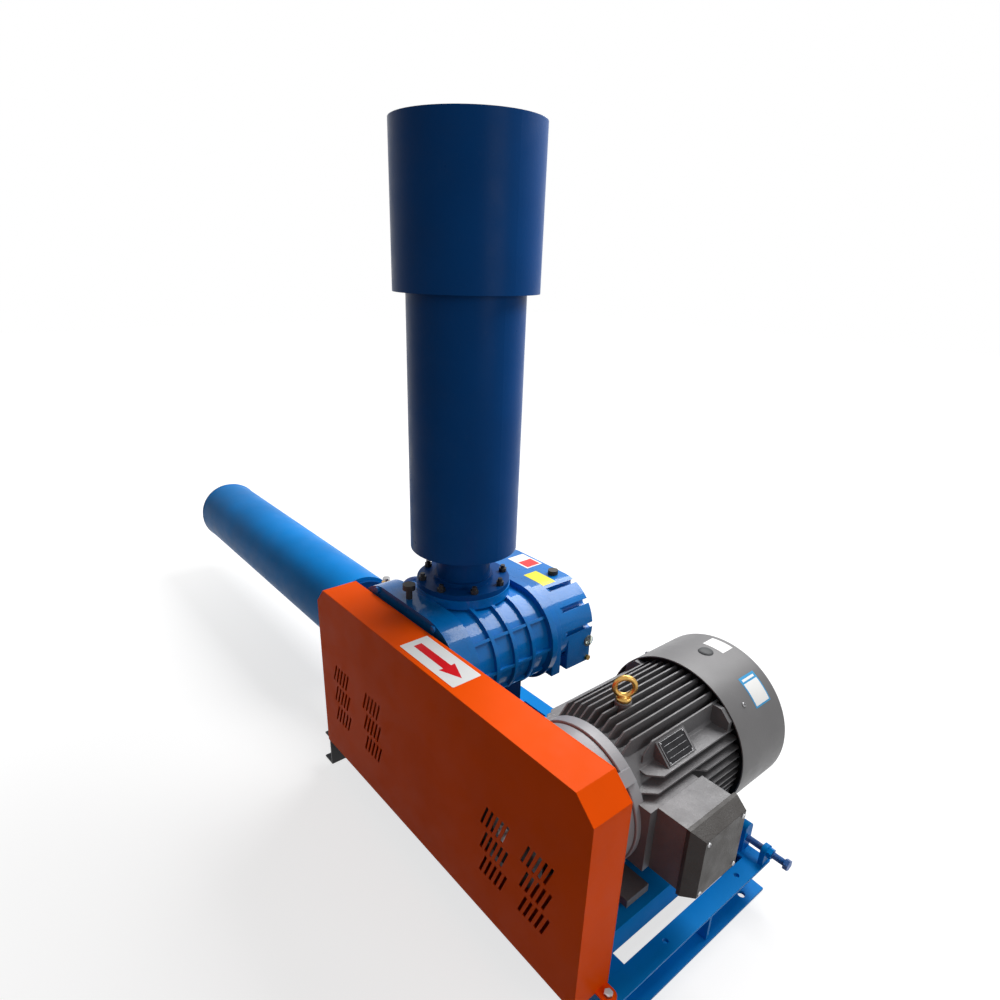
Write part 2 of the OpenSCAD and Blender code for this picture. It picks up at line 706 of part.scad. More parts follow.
module guard_cover() color("orangered") difference() {
  union() {
    along_y(guard_yf, guard_d - back_t) polygon(guard_pts(0));
    ear(ear_l[0], ear_l[1]);
    ear(ear_rt[0], ear_rt[1]);
  }
  along_y(guard_yf + sheet_t, guard_d) polygon(guard_pts(sheet_t));
  for (x = louvre_x) for (i = [0:slot_n - 1]) for (k = [0:2])
    translate([guard_x0 + x + (i - (slot_n - 1) / 2) * 16, guard_yf - 1, base_h + 140 + k * 66])
      rotate([0, 20, 0]) translate([-slot_w / 2, 0, -slot_len / 2])
        cube([slot_w, sheet_t + 2, slot_len]);
}

module guard_back_plate() color("orangered") difference() {
  along_y(guard_yb - back_t, back_t) polygon(guard_pts(0));
  rod_y(bx - half, guard_yb - back_t - 1, bz, shaft_r + 12, back_t + 2);
  along_y(guard_yb - back_t - 1, back_t + 2) translate([mx - slide_travel / 2, mz])
    stadium(slide_travel / 2 + 2, msh_r + 12);
}

module guard_bolts() color("silver") for (p = [ear_l, ear_rt]) {
  hex_z(p[0], p[1], base_h + 4, ear_bolt * 1.9, 7);
  rod_z(p[0], p[1], base_h + 5 - 14, ear_bolt / 2, 14);
}

// V-section, radius at x = 0 is the pitch line
module vee(grow) polygon([[-belt_t + 4 - grow, -belt_w / 2 + belt_t * tan(19)],
  [4 + grow, -belt_w / 2 - grow * tan(19)], [4 + grow, belt_w / 2 + grow * tan(19)],
  [-belt_t + 4 - grow, belt_w / 2 - belt_t * tan(19)]]);

// One closed belt: two wrapped arcs and two straight runs
module belt(y) translate([bx - half, y, bz]) rotate([90, -drive_a, 0]) {
  r1 = blower_pd / 2;
  r2 = motor_pd / 2;
  rotate([0, 0, 90 + wrap_a]) rotate_extrude(angle = 180 - 2 * wrap_a) translate([r1, 0]) vee(0);
  translate([drive_c, 0, 0]) rotate([0, 0, -90 - wrap_a])
    rotate_extrude(angle = 180 + 2 * wrap_a) translate([r2, 0]) vee(0);
  run_l = drive_c * cos(wrap_a);
  for (s = [0, 1]) mirror([0, s, 0]) rotate([0, 0, wrap_a])
    translate([0, r1, 0]) rotate([90, 0, 90]) linear_extrude(run_l) vee(0);
}

module drive_belts() color("black") for (i = [0:belt_n - 1])
  belt(belt_y + (i - (belt_n - 1) / 2) * belt_gap);

// Grooved pulley with its web and hub, turned about Y
module pulley(x, z, pd, bore) translate([x, pul_y0, z]) rotate([-90, 0, 0]) difference() {
  cylinder(r = pd / 2 + 5, h = pul_w);
  for (i = [0:belt_n - 1]) translate([0, 0, 12.5 + i * belt_gap])
    rotate_extrude() translate([pd / 2, 0]) polygon([
      [-belt_t + 4 - pass - 1, -belt_w / 2 + belt_t * tan(19) - pass],
      [6, -belt_w / 2 - 2 * tan(19) - pass], [6, belt_w / 2 + 2 * tan(19) + pass],
      [-belt_t + 4 - pass - 1, belt_w / 2 - belt_t * tan(19) + pass]]);
  translate([0, 0, -1]) cylinder(r = bore + seat, h = pul_w + 2);
  translate([0, 0, -1]) difference() {
    cylinder(r = pd / 2 - 22, h = pul_w / 2 - 8);
    cylinder(r = bore + 17, h = pul_w / 2);
  }
}

module blower_pulley() color("dimgray") pulley(bx - half, bz, blower_pd, shaft_r - 4);
module motor_pulley() color("dimgray") pulley(mx, mz, motor_pd, msh_r);

// Rolled lobe outline: outer lobes and inner flanks on one pitch circle, moved in by c
function lobe_pt(t, c) =
  let (k = floor(t / (180 / lobes)), out = k % 2 == 0, s = out ? 1 : -1,
    n = half / roll_r + s,
    x = (half + s * roll_r) * cos(t) - s * roll_r * cos(n * t),
    y = (half + s * roll_r) * sin(t) - roll_r * sin(n * t),
    dx = -(half + s * roll_r) * sin(t) + s * n * roll_r * sin(n * t),
    dy = (half + s * roll_r) * cos(t) - n * roll_r * cos(n * t),
    m = max(sqrt(dx * dx + dy * dy), 0.001))
  [x - c * dy / m, y + c * dx / m];

lobe_step = 180 / lobes / 20;
module rotor_lobes() rotate([0, 0, -90 / lobes]) polygon([for (i = [0:40 * lobes - 1])
  lobe_pt((i + 0.5) * lobe_step, rotor_clear)]);

module rotor(x) {
  difference() {
    translate([0, cas_y0 + tip_clear, 0]) along_y(0, rotor_len - 2 * tip_clear)
      translate([x, bz]) rotor_lobes();
    for (i = [0:lobes - 1]) translate([x, 0, bz]) rotate([0, 120 * i, 0])
      rod_y(half - 14, cas_y0 - 1, 0, 20, rotor_len + 2);
  }
}

module drive_rotor() color("gray") {
  rotor(bx - half);
  rod_y(bx - half, belt_y + pul_w / 2, bz, shaft_r, gear_y0 + gear_w + 12 - belt_y - pul_w / 2);
  rod_y(bx - half, pul_y0 - 2, bz, shaft_r - 4, pul_w + 3);
}

module driven_rotor() color("gray") {
  rotor(bx + half);
  rod_y(bx + half, plate_y0 + 2, bz, shaft_r, gear_y0 + gear_w + 12 - plate_y0 - 2);
}

// Involute spur gear outline, n teeth on pitch radius half
function inv_pt(rb, a) = [rb * (cos(a) + a * PI / 180 * sin(a)), rb * (sin(a) - a * PI / 180 * cos(a))];
module gear_2d(n) {
  m = 2 * half / n;
  rb = half * cos(20);
  ra = half + m - 0.3;
  rr = half - 1.25 * m;
  amax = sqrt(ra * ra / rb / rb - 1) * 180 / PI;
  inv20 = tan(20) * 180 / PI - 20;
  w = 90 / n + inv20 - 0.12 * 360 / (2 * PI * half);
  flank = [for (i = [0:4]) let (p = inv_pt(rb, amax * i / 4), r = norm(p),
    a = atan2(p[1], p[0]) - w) [r, a]];
  polygon([for (k = [0:n - 1]) each [
    for (q = concat([[rr, -w]], flank, [for (i = [4:-1:0]) [flank[i][0], -flank[i][1]]],
      [[rr, w]])) [q[0] * cos(q[1] + 360 * k / n), q[0] * sin(q[1] + 360 * k / n)]]]);
}

module timing_gear(x, a) difference() {
  along_y(gear_y0 + 4, gear_w) translate([x, bz]) rotate(a) gear_2d(gear_teeth);
  rod_y(x, gear_y0 + 3, bz, shaft_r + seat, gear_w + 2);
  for (i = [0:5]) translate([x, 0, bz]) rotate([0, 60 * i, 0])
    rod_y(half * 0.58, gear_y0 + 3, 0, 11, gear_w + 2);
}

module drive_gear() color("darkgray") timing_gear(bx - half, 0);
module driven_gear() color("darkgray")
  timing_gear(bx + half, gear_teeth % 2 == 0 ? 180 / gear_teeth : 0);

// Inverted channels under the motor feet, tied into one frame that slides on the base
module sled_rails() color("royalblue") difference() {
  union() {
    for (s = [-1, 1]) translate([mx + s * foot_x, 0, base_h]) along_y(rail_y0, beam_y - rail_y0)
      difference() {
        translate([-rail_w / 2, 0]) square([rail_w, rail_h]);
        translate([-rail_w / 2 + rail_t, -1]) square([rail_w - 2 * rail_t, rail_h - rail_t + 1]);
      }
    for (y = [foot_y0 - 60, foot_y0 + foot_b + 20])
      translate([mx - foot_x + rail_w / 2 - 1, y, base_h + 8])
        cube([2 * foot_x - rail_w + 2, 40, 10]);
    round_lug(lug_x0, lug_t, 33, 42);
  }
  for (s = [-1, 1]) for (y = [foot_y0, foot_y0 + foot_b])
    rod_z(mx + s * foot_x, y, base_h + rail_h - rail_t - 1, foot_bolt / 2 + 0.5, rail_t + 2);
  rod_x(lug_x0 + 6, jack_y, jack_z, jack_r - 2 + run, lug_t);
}

module fin_block(lo, hi, reach) for (i = [lo:hi]) {
  x = i * fin_gap;
  translate([x - fin_t / 2, bar_y0 + abs(i) * 2, 0])
    cube([fin_t, barrel_len - abs(i) * 2 - 6, sqrt(reach * reach - x * x)]);
}

module motor_frame() color("dimgray") difference() {
  union() {
    rod_y(mx, bar_y0, mz, barrel_r, barrel_len);
    translate([mx, 0, mz]) {
      fin_block(-7, 6, fin_r);
      rotate([0, 90, 0]) fin_block(-6, 7, fin_r - 4);
      rotate([0, -90, 0]) fin_block(-7, 7, fin_r - 4);
      rotate([0, 180, 0]) fin_block(-4, 4, fin_r - 10);
      rotate([0, 45, 0]) translate([-40, bar_y0 + 100, barrel_r - 12]) cube([80, 280, 38]);
    }
    for (s = [-1, 1]) for (y = [foot_y0, foot_y0 + foot_b])
      translate([mx + s * (foot_x - 20), y, mz - motor_h]) mirror([s < 0 ? 1 : 0, 0, 0]) {
        translate([-58, -35, 0]) cube([116, 70, foot_t]);
        translate([-44, -12, 0]) cube([40, 24, 90]);
      }
    translate([mx + barrel_r - 30, tb_y - 62, tb_z - 66]) cube([60, 124, 132]);
  }
  rod_y(mx, bar_y0 - 1, mz, barrel_r - 12, barrel_len + 2);
  for (s = [-1, 1]) for (y = [foot_y0, foot_y0 + foot_b])
    rod_z(mx + s * foot_x, y, mz - motor_h - 1, foot_bolt / 2 + 0.5, foot_t + 2);
  translate([mx + barrel_r + 30, tb_y - tbox_w / 2 - 3, tb_z - tbox_h / 2 - 3])
    cube([60, tbox_w + 6, tbox_h + 6]);
  rod_z(mx, foot_y0 + foot_b / 2 - 30, mz + fin_r - 40, 10, 60);
}

module front_endshield() color("gray") difference() {
  union() {
    rod_y(mx, bar_y0 - 12, mz, bell_r, 12);
    translate([mx, bar_y0 - 12, mz]) rotate([90, 0, 0])
      cylinder(r1 = bell_r - 12, r2 = 80, h = bar_y0 - 12 - shoulder_y);
    rod_y(mx, bar_y0, mz, barrel_r - 12 - seat, 10);
    for (i = [0:7]) translate([mx, 0, mz]) rotate([0, 45 * i + 22.5, 0])
      translate([70, shoulder_y + 6, -4]) cube([82, bar_y0 - 14 - shoulder_y, 8]);
  }
  rod_y(mx, shoulder_y - 1, mz, msh_r + 4 + run, bar_y0 - shoulder_y + 14);
  rod_y(mx, shoulder_y + 10, mz, 60, bar_y0 - shoulder_y + 14);
}

module rear_endshield() color("gray") difference() {
  union() {
    rod_y(mx, bar_y1, mz, barrel_r + 6, 10);
    rod_y(mx, bar_y1 + 10, mz, 90, 14);
    rod_y(mx, bar_y1 - 10, mz, barrel_r - 12 - seat, 10);
  }
  rod_y(mx, bar_y1 - 11, mz, msh_r - 4 + run, 40);
}

module fan_cowl() color("gray") {
  y0 = bar_y1 - 16;
  difference() {
    union() {
      rod_y(mx, y0, mz, cowl_r, cowl_len - 12);
      translate([mx, y0 + cowl_len - 12, mz]) rotate([-90, 0, 0])
        cylinder(r1 = cowl_r, r2 = cowl_r - 12, h = 12);
    }
    rod_y(mx, y0 - 1, mz, cowl_r - shell_t, cowl_len - 12);
    for (i = [0:6]) difference() {
      rod_y(mx, y0, mz, 48 + i * 19, cowl_len + 1);
      rod_y(mx, y0 - 1, mz, 38 + i * 19, cowl_len + 3);
      for (a = [0:45:135]) translate([mx, y0 + cowl_len / 2, mz]) rotate([0, a + 22.5, 0])
        cube([2 * cowl_r, 2 * cowl_len, 12], center = true);
    }
  }
  for (i = [0:3]) translate([mx, 0, mz]) rotate([0, 90 * i + 45, 0])
    translate([barrel_r + 6 + seat, bar_y1, -10]) cube([cowl_r - shell_t - barrel_r - 4, 10, 20]);
}

module stator() color("silver") difference() {
  rod_y(mx, bar_y0 + 60, mz, barrel_r - 12 - seat, barrel_len - 130);
  rod_y(mx, bar_y0 + 59, mz, 86, barrel_len - 128);
}

module terminal_box() color("gray") {
  x0 = mx + barrel_r + 30;
  difference() {
    translate([x0, tb_y - tbox_w / 2, tb_z - tbox_h / 2])
      cube([mx + tbox_out - lid_t - x0, tbox_w, tbox_h]);
    translate([x0 + 8, tb_y - tbox_w / 2 + 8, tb_z - tbox_h / 2 + 8])
      cube([tbox_out, tbox_w - 16, tbox_h - 16]);
    rod_z(x0 + 36, tb_y, tb_z - tbox_h / 2 - 1, 16.5, 10);
  }
}

// Terminal box lid with sloping sides
module terminal_lid() color("dimgray") {
  x0 = mx + tbox_out - lid_t;
  difference() {
    intersection() {
      translate([0, tb_y + tbox_w, 0]) rotate([90, 0, 0]) linear_extrude(2 * tbox_w)
        lid_slope(x0, tb_z, tbox_h / 2);
      translate([0, 0, tb_z - tbox_h]) linear_extrude(2 * tbox_h)
        lid_slope(x0, tb_y, tbox_w / 2);
    }
    translate([x0 - 1, tb_y - tbox_w / 2 + 18, tb_z - tbox_h / 2 + 18])
      cube([lid_t - 9, tbox_w - 36, tbox_h - 36]);
  }
}

// Side outline of the lid: a low rim, then a slope in to the outer face
module lid_slope(x, c, h) polygon([[x, c - h - 5], [x + 8, c - h - 5],
  [x + lid_t, c - h + 7], [x + lid_t, c + h - 7], [x + 8, c + h + 5], [x, c + h + 5]]);

module cable_gland() color("black") {
  x = mx + barrel_r + 66;
  difference() {
    union() {
      hex_z(x, tb_y, tb_z - tbox_h / 2 - 12, 42, 12);
      rod_z(x, tb_y, tb_z - tbox_h / 2 - 30, 16, 20);
      rod_z(x, tb_y, tb_z - tbox_h / 2 - 1, 16, 9);
    }
    rod_z(x, tb_y, tb_z - tbox_h / 2 - 31, 9, 60);
  }
}

module eyebolt() color("goldenrod") {
  y = foot_y0 + foot_b / 2 - 30;
  z = mz + fin_r;
  rod_z(mx, y, z - 30, 9.8, 32);
  rod_z(mx, y, z + seat, 17, 8);
  translate([mx, y, z + 34]) rotate([0, 90, 20]) rotate_extrude() translate([22, 0]) circle(6);
}

module motor_nameplate() color("black") translate([mx, 0, mz]) rotate([0, 45, 0])
  translate([-26, bar_y0 + 190, barrel_r + 26]) cube([52, 84, 1.5]);

module foot_bolts() color("slategray") for (s = [-1, 1]) for (y = [foot_y0, foot_y0 + foot_b]) {
  x = mx + s * foot_x;
  z = mz - motor_h;
  hex_z(x, y, z + foot_t, foot_bolt * 1.75, 9);
  rod_z(x, y, z - rail_t - 14, foot_bolt / 2, foot_t + rail_t + 15);
  hex_z(x, y, z - rail_t - 12, foot_bolt * 1.75, 12);
}

module motor_shaft() color("silver") {
  rod_y(mx, pul_y0 - 2, mz, msh_r, shoulder_y - pul_y0 + 2);
  rod_y(mx, shoulder_y, mz, msh_r + 4, bar_y1 - 40 - shoulder_y);
  rod_y(mx, bar_y0 + 60, mz, 85.4, barrel_len - 130);
  rod_y(mx, bar_y1 - 41, mz, msh_r - 4, 140);
}

module motor_fan() color("black") {
  y0 = bar_y1 + 40;
  difference() {
    union() {
      rod_y(mx, y0, mz, 46, 60);
      rod_y(mx, y0, mz, 110, 5);
      for (i = [0:fan_blades - 1]) translate([mx, 0, mz]) rotate([0, 360 / fan_blades * i, 0])
        translate([40, y0 + 1, -2.5]) cube([130, 59, 5]);
    }
    rod_y(mx, y0 - 1, mz, msh_r - 4 + seat, 62);
  }
}

module jack_screw() color("silver") {
  rod_x(lug_x0 + 6.3, jack_y, jack_z, jack_r - 2, lug_t - 6);
  rod_x(lug_x0 + lug_t + 0.3, jack_y, jack_z, jack_r, brk_x0 + brk_t + 12 + jack_free - lug_x0 - lug_t);
  hex_x(brk_x0 + brk_t + 12 + jack_free, jack_y, jack_z, jack_d * 1.7, 11);
}

frame_front_channel();
frame_rear_channel();
frame_end_channel();
frame_left_channel();
frame_cross_channels();
frame_inner_channel();
guard_leg();
jack_bracket();
outlet_pedestal();
blower_casing();
drive_end_plate();
gear_end_plate();
gear_cover();
bearing_covers();
rotor_bearings();
sight_glass();
drain_plug();
filler_cap();
breather_cap();
casing_bolts();
inlet_neck();
inlet_silencer();
inlet_hood();
filter_element();
inlet_core();
inlet_bolts();
discharge_pipe();
discharge_bolts();
discharge_silencer();
discharge_core();
outlet_flange();
valve_body();
valve_disc();
guard_cover();
guard_back_plate();
guard_bolts();
drive_belts();
drive_rotor();
drive_gear();
blower_pulley();
driven_rotor();
driven_gear();
sled_rails();
motor_frame();
front_endshield();
rear_endshield();
fan_cowl();
stator();
terminal_box();
terminal_lid();
cable_gland();
eyebolt();
motor_nameplate();
foot_bolts();
motor_shaft();
motor_fan();
motor_pulley();
jack_screw();
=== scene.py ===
import json
import math

import bmesh
import bpy
from mathutils import Matrix, Vector


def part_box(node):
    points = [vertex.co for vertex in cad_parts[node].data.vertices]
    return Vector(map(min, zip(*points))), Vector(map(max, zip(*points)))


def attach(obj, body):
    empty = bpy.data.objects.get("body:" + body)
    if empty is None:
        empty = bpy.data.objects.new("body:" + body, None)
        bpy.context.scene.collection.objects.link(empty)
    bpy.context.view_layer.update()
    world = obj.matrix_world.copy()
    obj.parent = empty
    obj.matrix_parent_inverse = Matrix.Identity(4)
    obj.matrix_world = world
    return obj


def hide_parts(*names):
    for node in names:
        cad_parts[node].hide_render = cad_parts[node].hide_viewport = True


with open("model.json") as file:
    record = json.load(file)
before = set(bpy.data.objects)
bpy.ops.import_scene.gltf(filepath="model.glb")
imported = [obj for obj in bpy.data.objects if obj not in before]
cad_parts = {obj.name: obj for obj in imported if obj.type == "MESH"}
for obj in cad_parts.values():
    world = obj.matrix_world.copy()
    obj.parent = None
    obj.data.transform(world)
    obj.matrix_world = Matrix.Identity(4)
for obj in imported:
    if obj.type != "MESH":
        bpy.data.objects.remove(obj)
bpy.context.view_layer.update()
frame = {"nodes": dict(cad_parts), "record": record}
NODES = frame["nodes"]
scene = bpy.context.scene


def lin(r, g, b):
    """Linear colour from an 8-bit display colour."""
    def one(v):
        v /= 255.0
        return v / 12.92 if v <= 0.04045 else ((v + 0.055) / 1.055) ** 2.4
    return (one(r), one(g), one(b), 1.0)


def shade(c, k):
    return (c[0] * k, c[1] * k, c[2] * k, 1.0)


# Camera: level angle, tilt, roll and focal length from the photograph's outlines
YAW, PITCH, ROLL, FOCAL = 0.8813, 0.3983, 0.0244, 24.29
EYE = Vector((0.9736, -1.0249, 1.4171))
fwd = Vector((-math.sin(YAW) * math.cos(PITCH), math.cos(YAW) * math.cos(PITCH), -math.sin(PITCH)))
level = Vector((math.cos(YAW), math.sin(YAW), 0.0))
up0 = level.cross(fwd)
right = level * math.cos(ROLL) + up0 * math.sin(ROLL)
up = up0 * math.cos(ROLL) - level * math.sin(ROLL)
cam_data = bpy.data.cameras.new("camera")
cam_data.sensor_width = 36.0
cam_data.sensor_fit = "HORIZONTAL"
cam_data.lens = FOCAL
cam_data.shift_x = 0.01514
cam_data.shift_y = 0.04267
cam_data.clip_start = 0.05
cam = bpy.data.objects.new("camera", cam_data)
scene.collection.objects.link(cam)
cam.matrix_world = Matrix((
    (right.x, up.x, -fwd.x, EYE.x), (right.y, up.y, -fwd.y, EYE.y),
    (right.z, up.z, -fwd.z, EYE.z), (0, 0, 0, 1)))
scene.camera = cam
scene.view_settings.view_transform = "Standard"


# Materials

class Nodes:
    """One procedural material, with short calls for its nodes."""

    def __init__(self, name):
        self.mat = bpy.data.materials.new(name)
        self.mat.use_nodes = True
        self.t = self.mat.node_tree
        self.bsdf = next(n for n in self.t.nodes if n.type == "BSDF_PRINCIPLED")
        self.coord = self.t.nodes.new("ShaderNodeTexCoord").outputs["Object"]

    def add(self, kind, **props):
        n = self.t.nodes.new(kind)
        for k, v in props.items():
            setattr(n, k, v)
        return n

    def link(self, a, b):
        self.t.links.new(a, b)

    def put(self, socket, value):
        self.bsdf.inputs[socket].default_value = value

    def noise(self, scale, detail=3.0, rough=0.5):
        n = self.add("ShaderNodeTexNoise")
        n.inputs["Scale"].default_value = scale
        n.inputs["Detail"].default_value = detail
        n.inputs["Roughness"].default_value = rough
        self.link(self.coord, n.inputs["Vector"])
        return n.outputs["Fac"]

    def rings(self, axis, pitch):
        """Evenly spaced ridges along one axis, in metres."""
        w = self.add("ShaderNodeTexWave", bands_direction=axis)
        w.inputs["Scale"].default_value = math.pi / (10.0 * pitch)
        w.inputs["Distortion"].default_value = 0.0
        self.link(self.coord, w.inputs["Vector"])
        return w.outputs["Fac"]

    def ramp(self, fac, stops):
        r = self.add("ShaderNodeValToRGB")
        e = r.color_ramp.elements
        while len(e) < len(stops):
            e.new(0.5)
        for el, (pos, col) in zip(e, stops):
            el.position = pos
            el.color = col
        self.link(fac, r.inputs["Fac"])
        return r.outputs["Color"]

    def mix(self, fac, a, b):
        m = self.add("ShaderNodeMix", data_type="RGBA")
        for sock, v in ((m.inputs[0], fac), (m.inputs[6], a), (m.inputs[7], b)):
            if hasattr(v, "is_output"):
                self.link(v, sock)
            else:
                sock.default_value = v
        return m.outputs[2]

    def bump(self, height, strength, distance, edge=0.0):
        """Bump in metres; edge rounds the corners in the shading, by its radius."""
        b = self.add("ShaderNodeBump")
        b.inputs["Strength"].default_value = strength
        b.inputs["Distance"].default_value = distance
        self.link(height, b.inputs["Height"])
        if edge:
            soft = self.add("ShaderNodeBevel", samples=4)
            soft.inputs["Radius"].default_value = edge
            self.link(soft.outputs["Normal"], b.inputs["Normal"])
        self.link(b.outputs["Normal"], self.bsdf.inputs["Normal"])

    def rough(self, fac, lo, hi):
        """Roughness between lo and hi over the middle half of a noise."""
        m = self.add("ShaderNodeMapRange")
        m.inputs["From Min"].default_value = 0.25
        m.inputs["From Max"].default_value = 0.75
        m.inputs["To Min"].default_value = lo
        m.inputs["To Max"].default_value = hi
        self.link(fac, m.inputs["Value"])
        self.link(m.outputs["Result"], self.bsdf.inputs["Roughness"])


# Radii to which the shading rounds the corners of painted sheet, castings and bare metal
PAINT_EDGE, CAST_EDGE, METAL_EDGE = 0.0012, 0.0015, 0.0006


def paint(name, col, lo=0.26, hi=0.42, peel=220.0, peel_d=0.0004, var=0.84, dust=0.06, spec=0.35):
    """Sprayed paint: slow colour drift, dust, orange-peel surface."""
    n = Nodes(name)
    slow = n.noise(4.0, 4.0)
    base = n.ramp(slow, [(0.32, shade(col, var)), (0.68, shade(col, 1.0 + (1 - var) * 0.3))])
    fine = n.noise(70.0, 6.0, 0.7)
    spots = n.ramp(fine, [(0.58, (0, 0, 0, 1)), (0.80, (dust, dust, dust, 1))])
    pale = tuple(min(1.0, c * 0.6 + 0.25) for c in col[:3]) + (1.0,)
    n.link(n.mix(spots, base, pale), n.bsdf.inputs["Base Color"])
    n.rough(n.noise(18.0, 5.0, 0.6), lo, hi)
    n.put("Specular IOR Level", spec)
    n.bump(n.noise(peel, 2.0), 0.35, peel_d, PAINT_EDGE)
    return n.mat


def cast_paint(name, col, lo, hi, grain, depth, spec, coat=0.0, pit_shade_level=0.55):
    """Paint over a cast surface: coarse grain under the coat, with painted shade in its pits."""
    n = Nodes(name)
    slow = n.noise(7.0, 5.0)
    base = n.ramp(slow, [(0.32, shade(col, 0.78)), (0.68, shade(col, 1.06))])
    grit = n.noise(grain, 5.0, 0.65)
    # Painted shade: the grain's pits are mixed toward a darker copy of the colour.
    pit_shade_mask = n.ramp(grit, [(0.30, (0.4, 0.4, 0.4, 1)), (0.46, (0, 0, 0, 1))])
    n.link(n.mix(pit_shade_mask, base, shade(col, pit_shade_level)), n.bsdf.inputs["Base Color"])
    n.rough(n.noise(30.0, 4.0), lo, hi)
    n.put("Specular IOR Level", spec)
    n.put("Coat Weight", coat)
    n.put("Coat Roughness", 0.07)
    n.bump(grit, 0.5, depth, CAST_EDGE)
    return n.mat


def metal(name, col, lo=0.25, hi=0.45):
    """Bare metal, duller in patches."""
    n = Nodes(name)
    base = n.ramp(n.noise(40.0, 5.0, 0.6), [(0.3, shade(col, 0.7)), (0.7, col)])
    n.link(base, n.bsdf.inputs["Base Color"])
    n.put("Metallic", 1.0)
    n.rough(n.noise(90.0, 4.0, 0.6), lo, hi)
    n.bump(n.noise(400.0, 2.0), 0.2, 0.0003, METAL_EDGE)
    return n.mat


def dull(name, col, lo, hi, grain=300.0, depth=0.0005, var=0.75):
    """Rubber, plastic, felt or a label."""
    n = Nodes(name)
    base = n.ramp(n.noise(25.0, 4.0), [(0.3, shade(col, var)), (0.7, col)])
    n.link(base, n.bsdf.inputs["Base Color"])
    n.rough(n.noise(50.0, 3.0), lo, hi)
    n.put("Specular IOR Level", 0.35)
    n.bump(n.noise(grain, 3.0), 0.4, depth)
    return n.mat


def threaded(name, col, axis, pitch):
    """Blue paint that has run into a screw thread, with painted shade in the thread's grooves."""
    n = Nodes(name)
    cut = n.rings(axis, pitch)
    # Painted shade: darker in the thread's grooves, the paint's own blue on the crests.
    base = n.ramp(cut, [(0.15, shade(col, 0.35)), (0.6, col)])
    worn = n.ramp(n.noise(60.0, 4.0), [(0.5, (0, 0, 0, 1)), (0.72, (0.35, 0.35, 0.35, 1))])
    n.link(n.mix(worn, base, lin(150, 150, 150)), n.bsdf.inputs["Base Color"])
    n.rough(n.noise(120.0, 3.0), 0.3, 0.5)
    n.bump(cut, 0.9, 0.0009)
    return n.mat


BLUE = paint("blue_paint", lin(5, 136, 220), 0.3, 0.46, dust=0.02, spec=0.05)
CASING = cast_paint("casing_paint", lin(4, 116, 196), 0.24, 0.38, 170.0, 0.0009, 0.08, 0.4, 0.6)
NAVY = paint("navy_paint", lin(6, 72, 138), 0.26, 0.42, 160.0, 0.0003, 0.86, 0.02, 0.06)
ORANGE = paint("orange_paint", lin(255, 88, 6), 0.34, 0.5, 180.0, 0.0003, 0.92, 0.015, 0.03)
GREY = paint("grey_paint", lin(112, 111, 112), 0.34, 0.5, 200.0, 0.0005, 0.84, 0.06, 0.4)
GREY_CAST = cast_paint("grey_cast_paint", lin(104, 103, 105), 0.34, 0.55, 240.0, 0.0012, 0.5)
GREY_LIGHT = paint("grey_light_paint", lin(150, 152, 156), 0.34, 0.5, 200.0, 0.0005, 0.84, 0.06,
                   0.4)
# A darker, browner copy of the cast grey for the terminal lid: painted shade, as the lid's face lies
# in shade.
GREY_SHADED = cast_paint("grey_painted_shade", lin(48, 44, 41), 0.36, 0.55, 240.0, 0.001, 0.3)
BLACK = paint("black_paint", lin(26, 27, 30), 0.3, 0.5, 200.0, 0.0004, 0.7, 0.05, 0.4)
STEEL = metal("steel", lin(186, 186, 188))
IRON = metal("cast_iron", lin(110, 110, 112), 0.45, 0.7)
BRASS = metal("brass", lin(206, 164, 92), 0.22, 0.4)
RUBBER = dull("belt_rubber", lin(26, 26, 27), 0.6, 0.85)
PLASTIC = dull("black_plastic", lin(24, 24, 25), 0.4, 0.6)
CAP_RUBBER = dull("cap_rubber", lin(62, 64, 66), 0.45, 0.65)
PLATE = metal("plate_metal", lin(52, 52, 54), 0.3, 0.5)
PLATE_EDGE = metal("plate_edge", lin(150, 150, 152), 0.25, 0.4)
FELT = dull("filter_media", lin(226, 222, 206), 0.8, 0.95, 900.0, 0.001, 0.85)
WHITE = dull("label_white", lin(240, 240, 238), 0.3, 0.4, 500.0, 0.0001, 0.97)
RED = dull("label_red", lin(226, 20, 28), 0.3, 0.4, 500.0, 0.0001, 0.92)
YELLOW = dull("label_yellow", lin(238, 224, 20), 0.3, 0.4, 500.0, 0.0001, 0.93)
LIGHT_BLUE = dull("label_blue", lin(40, 150, 205), 0.3, 0.4, 500.0, 0.0001, 0.93)
THREAD = threaded("screw_thread", lin(8, 104, 190), "X", 0.0025)

GLASS = Nodes("glass")
GLASS.put("Transmission Weight", 0.85)
GLASS.link(GLASS.ramp(GLASS.noise(30.0), [(0.3, (0.75, 0.82, 0.7, 1)), (0.7, (0.9, 0.95, 0.85, 1))]),
           GLASS.bsdf.inputs["Base Color"])
GLASS.rough(GLASS.noise(80.0), 0.03, 0.12)

BY_SLOT = {
    "blue_paint": BLUE, "casing_paint": CASING, "navy_paint": NAVY, "orange_paint": ORANGE,
    "black_paint": BLACK, "grey_paint": GREY, "steel": STEEL, "cast_iron": IRON, "brass": BRASS,
    "glass": GLASS.mat, "black_plastic": PLASTIC, "plate_metal": PLATE, "belt_rubber": RUBBER,
    "filter_media": FELT,
}
BY_NODE = {
    "motor_frame": GREY_CAST, "front_endshield": GREY_CAST, "terminal_box": GREY_CAST,
    "terminal_lid": GREY_SHADED, "jack_screw": THREAD, "discharge_bolts": NAVY,
    "inlet_bolts": BLACK, "casing_bolts": CASING, "foot_bolts": BLACK,
}
for sub in frame["record"]["subparts"]:
    ob = NODES[sub["node"]]
    ob.data.materials.clear()
    ob.data.materials.append(BY_NODE.get(sub["node"], BY_SLOT[sub["material_slot"]]))


# Pieces

SHARP = math.radians(32)


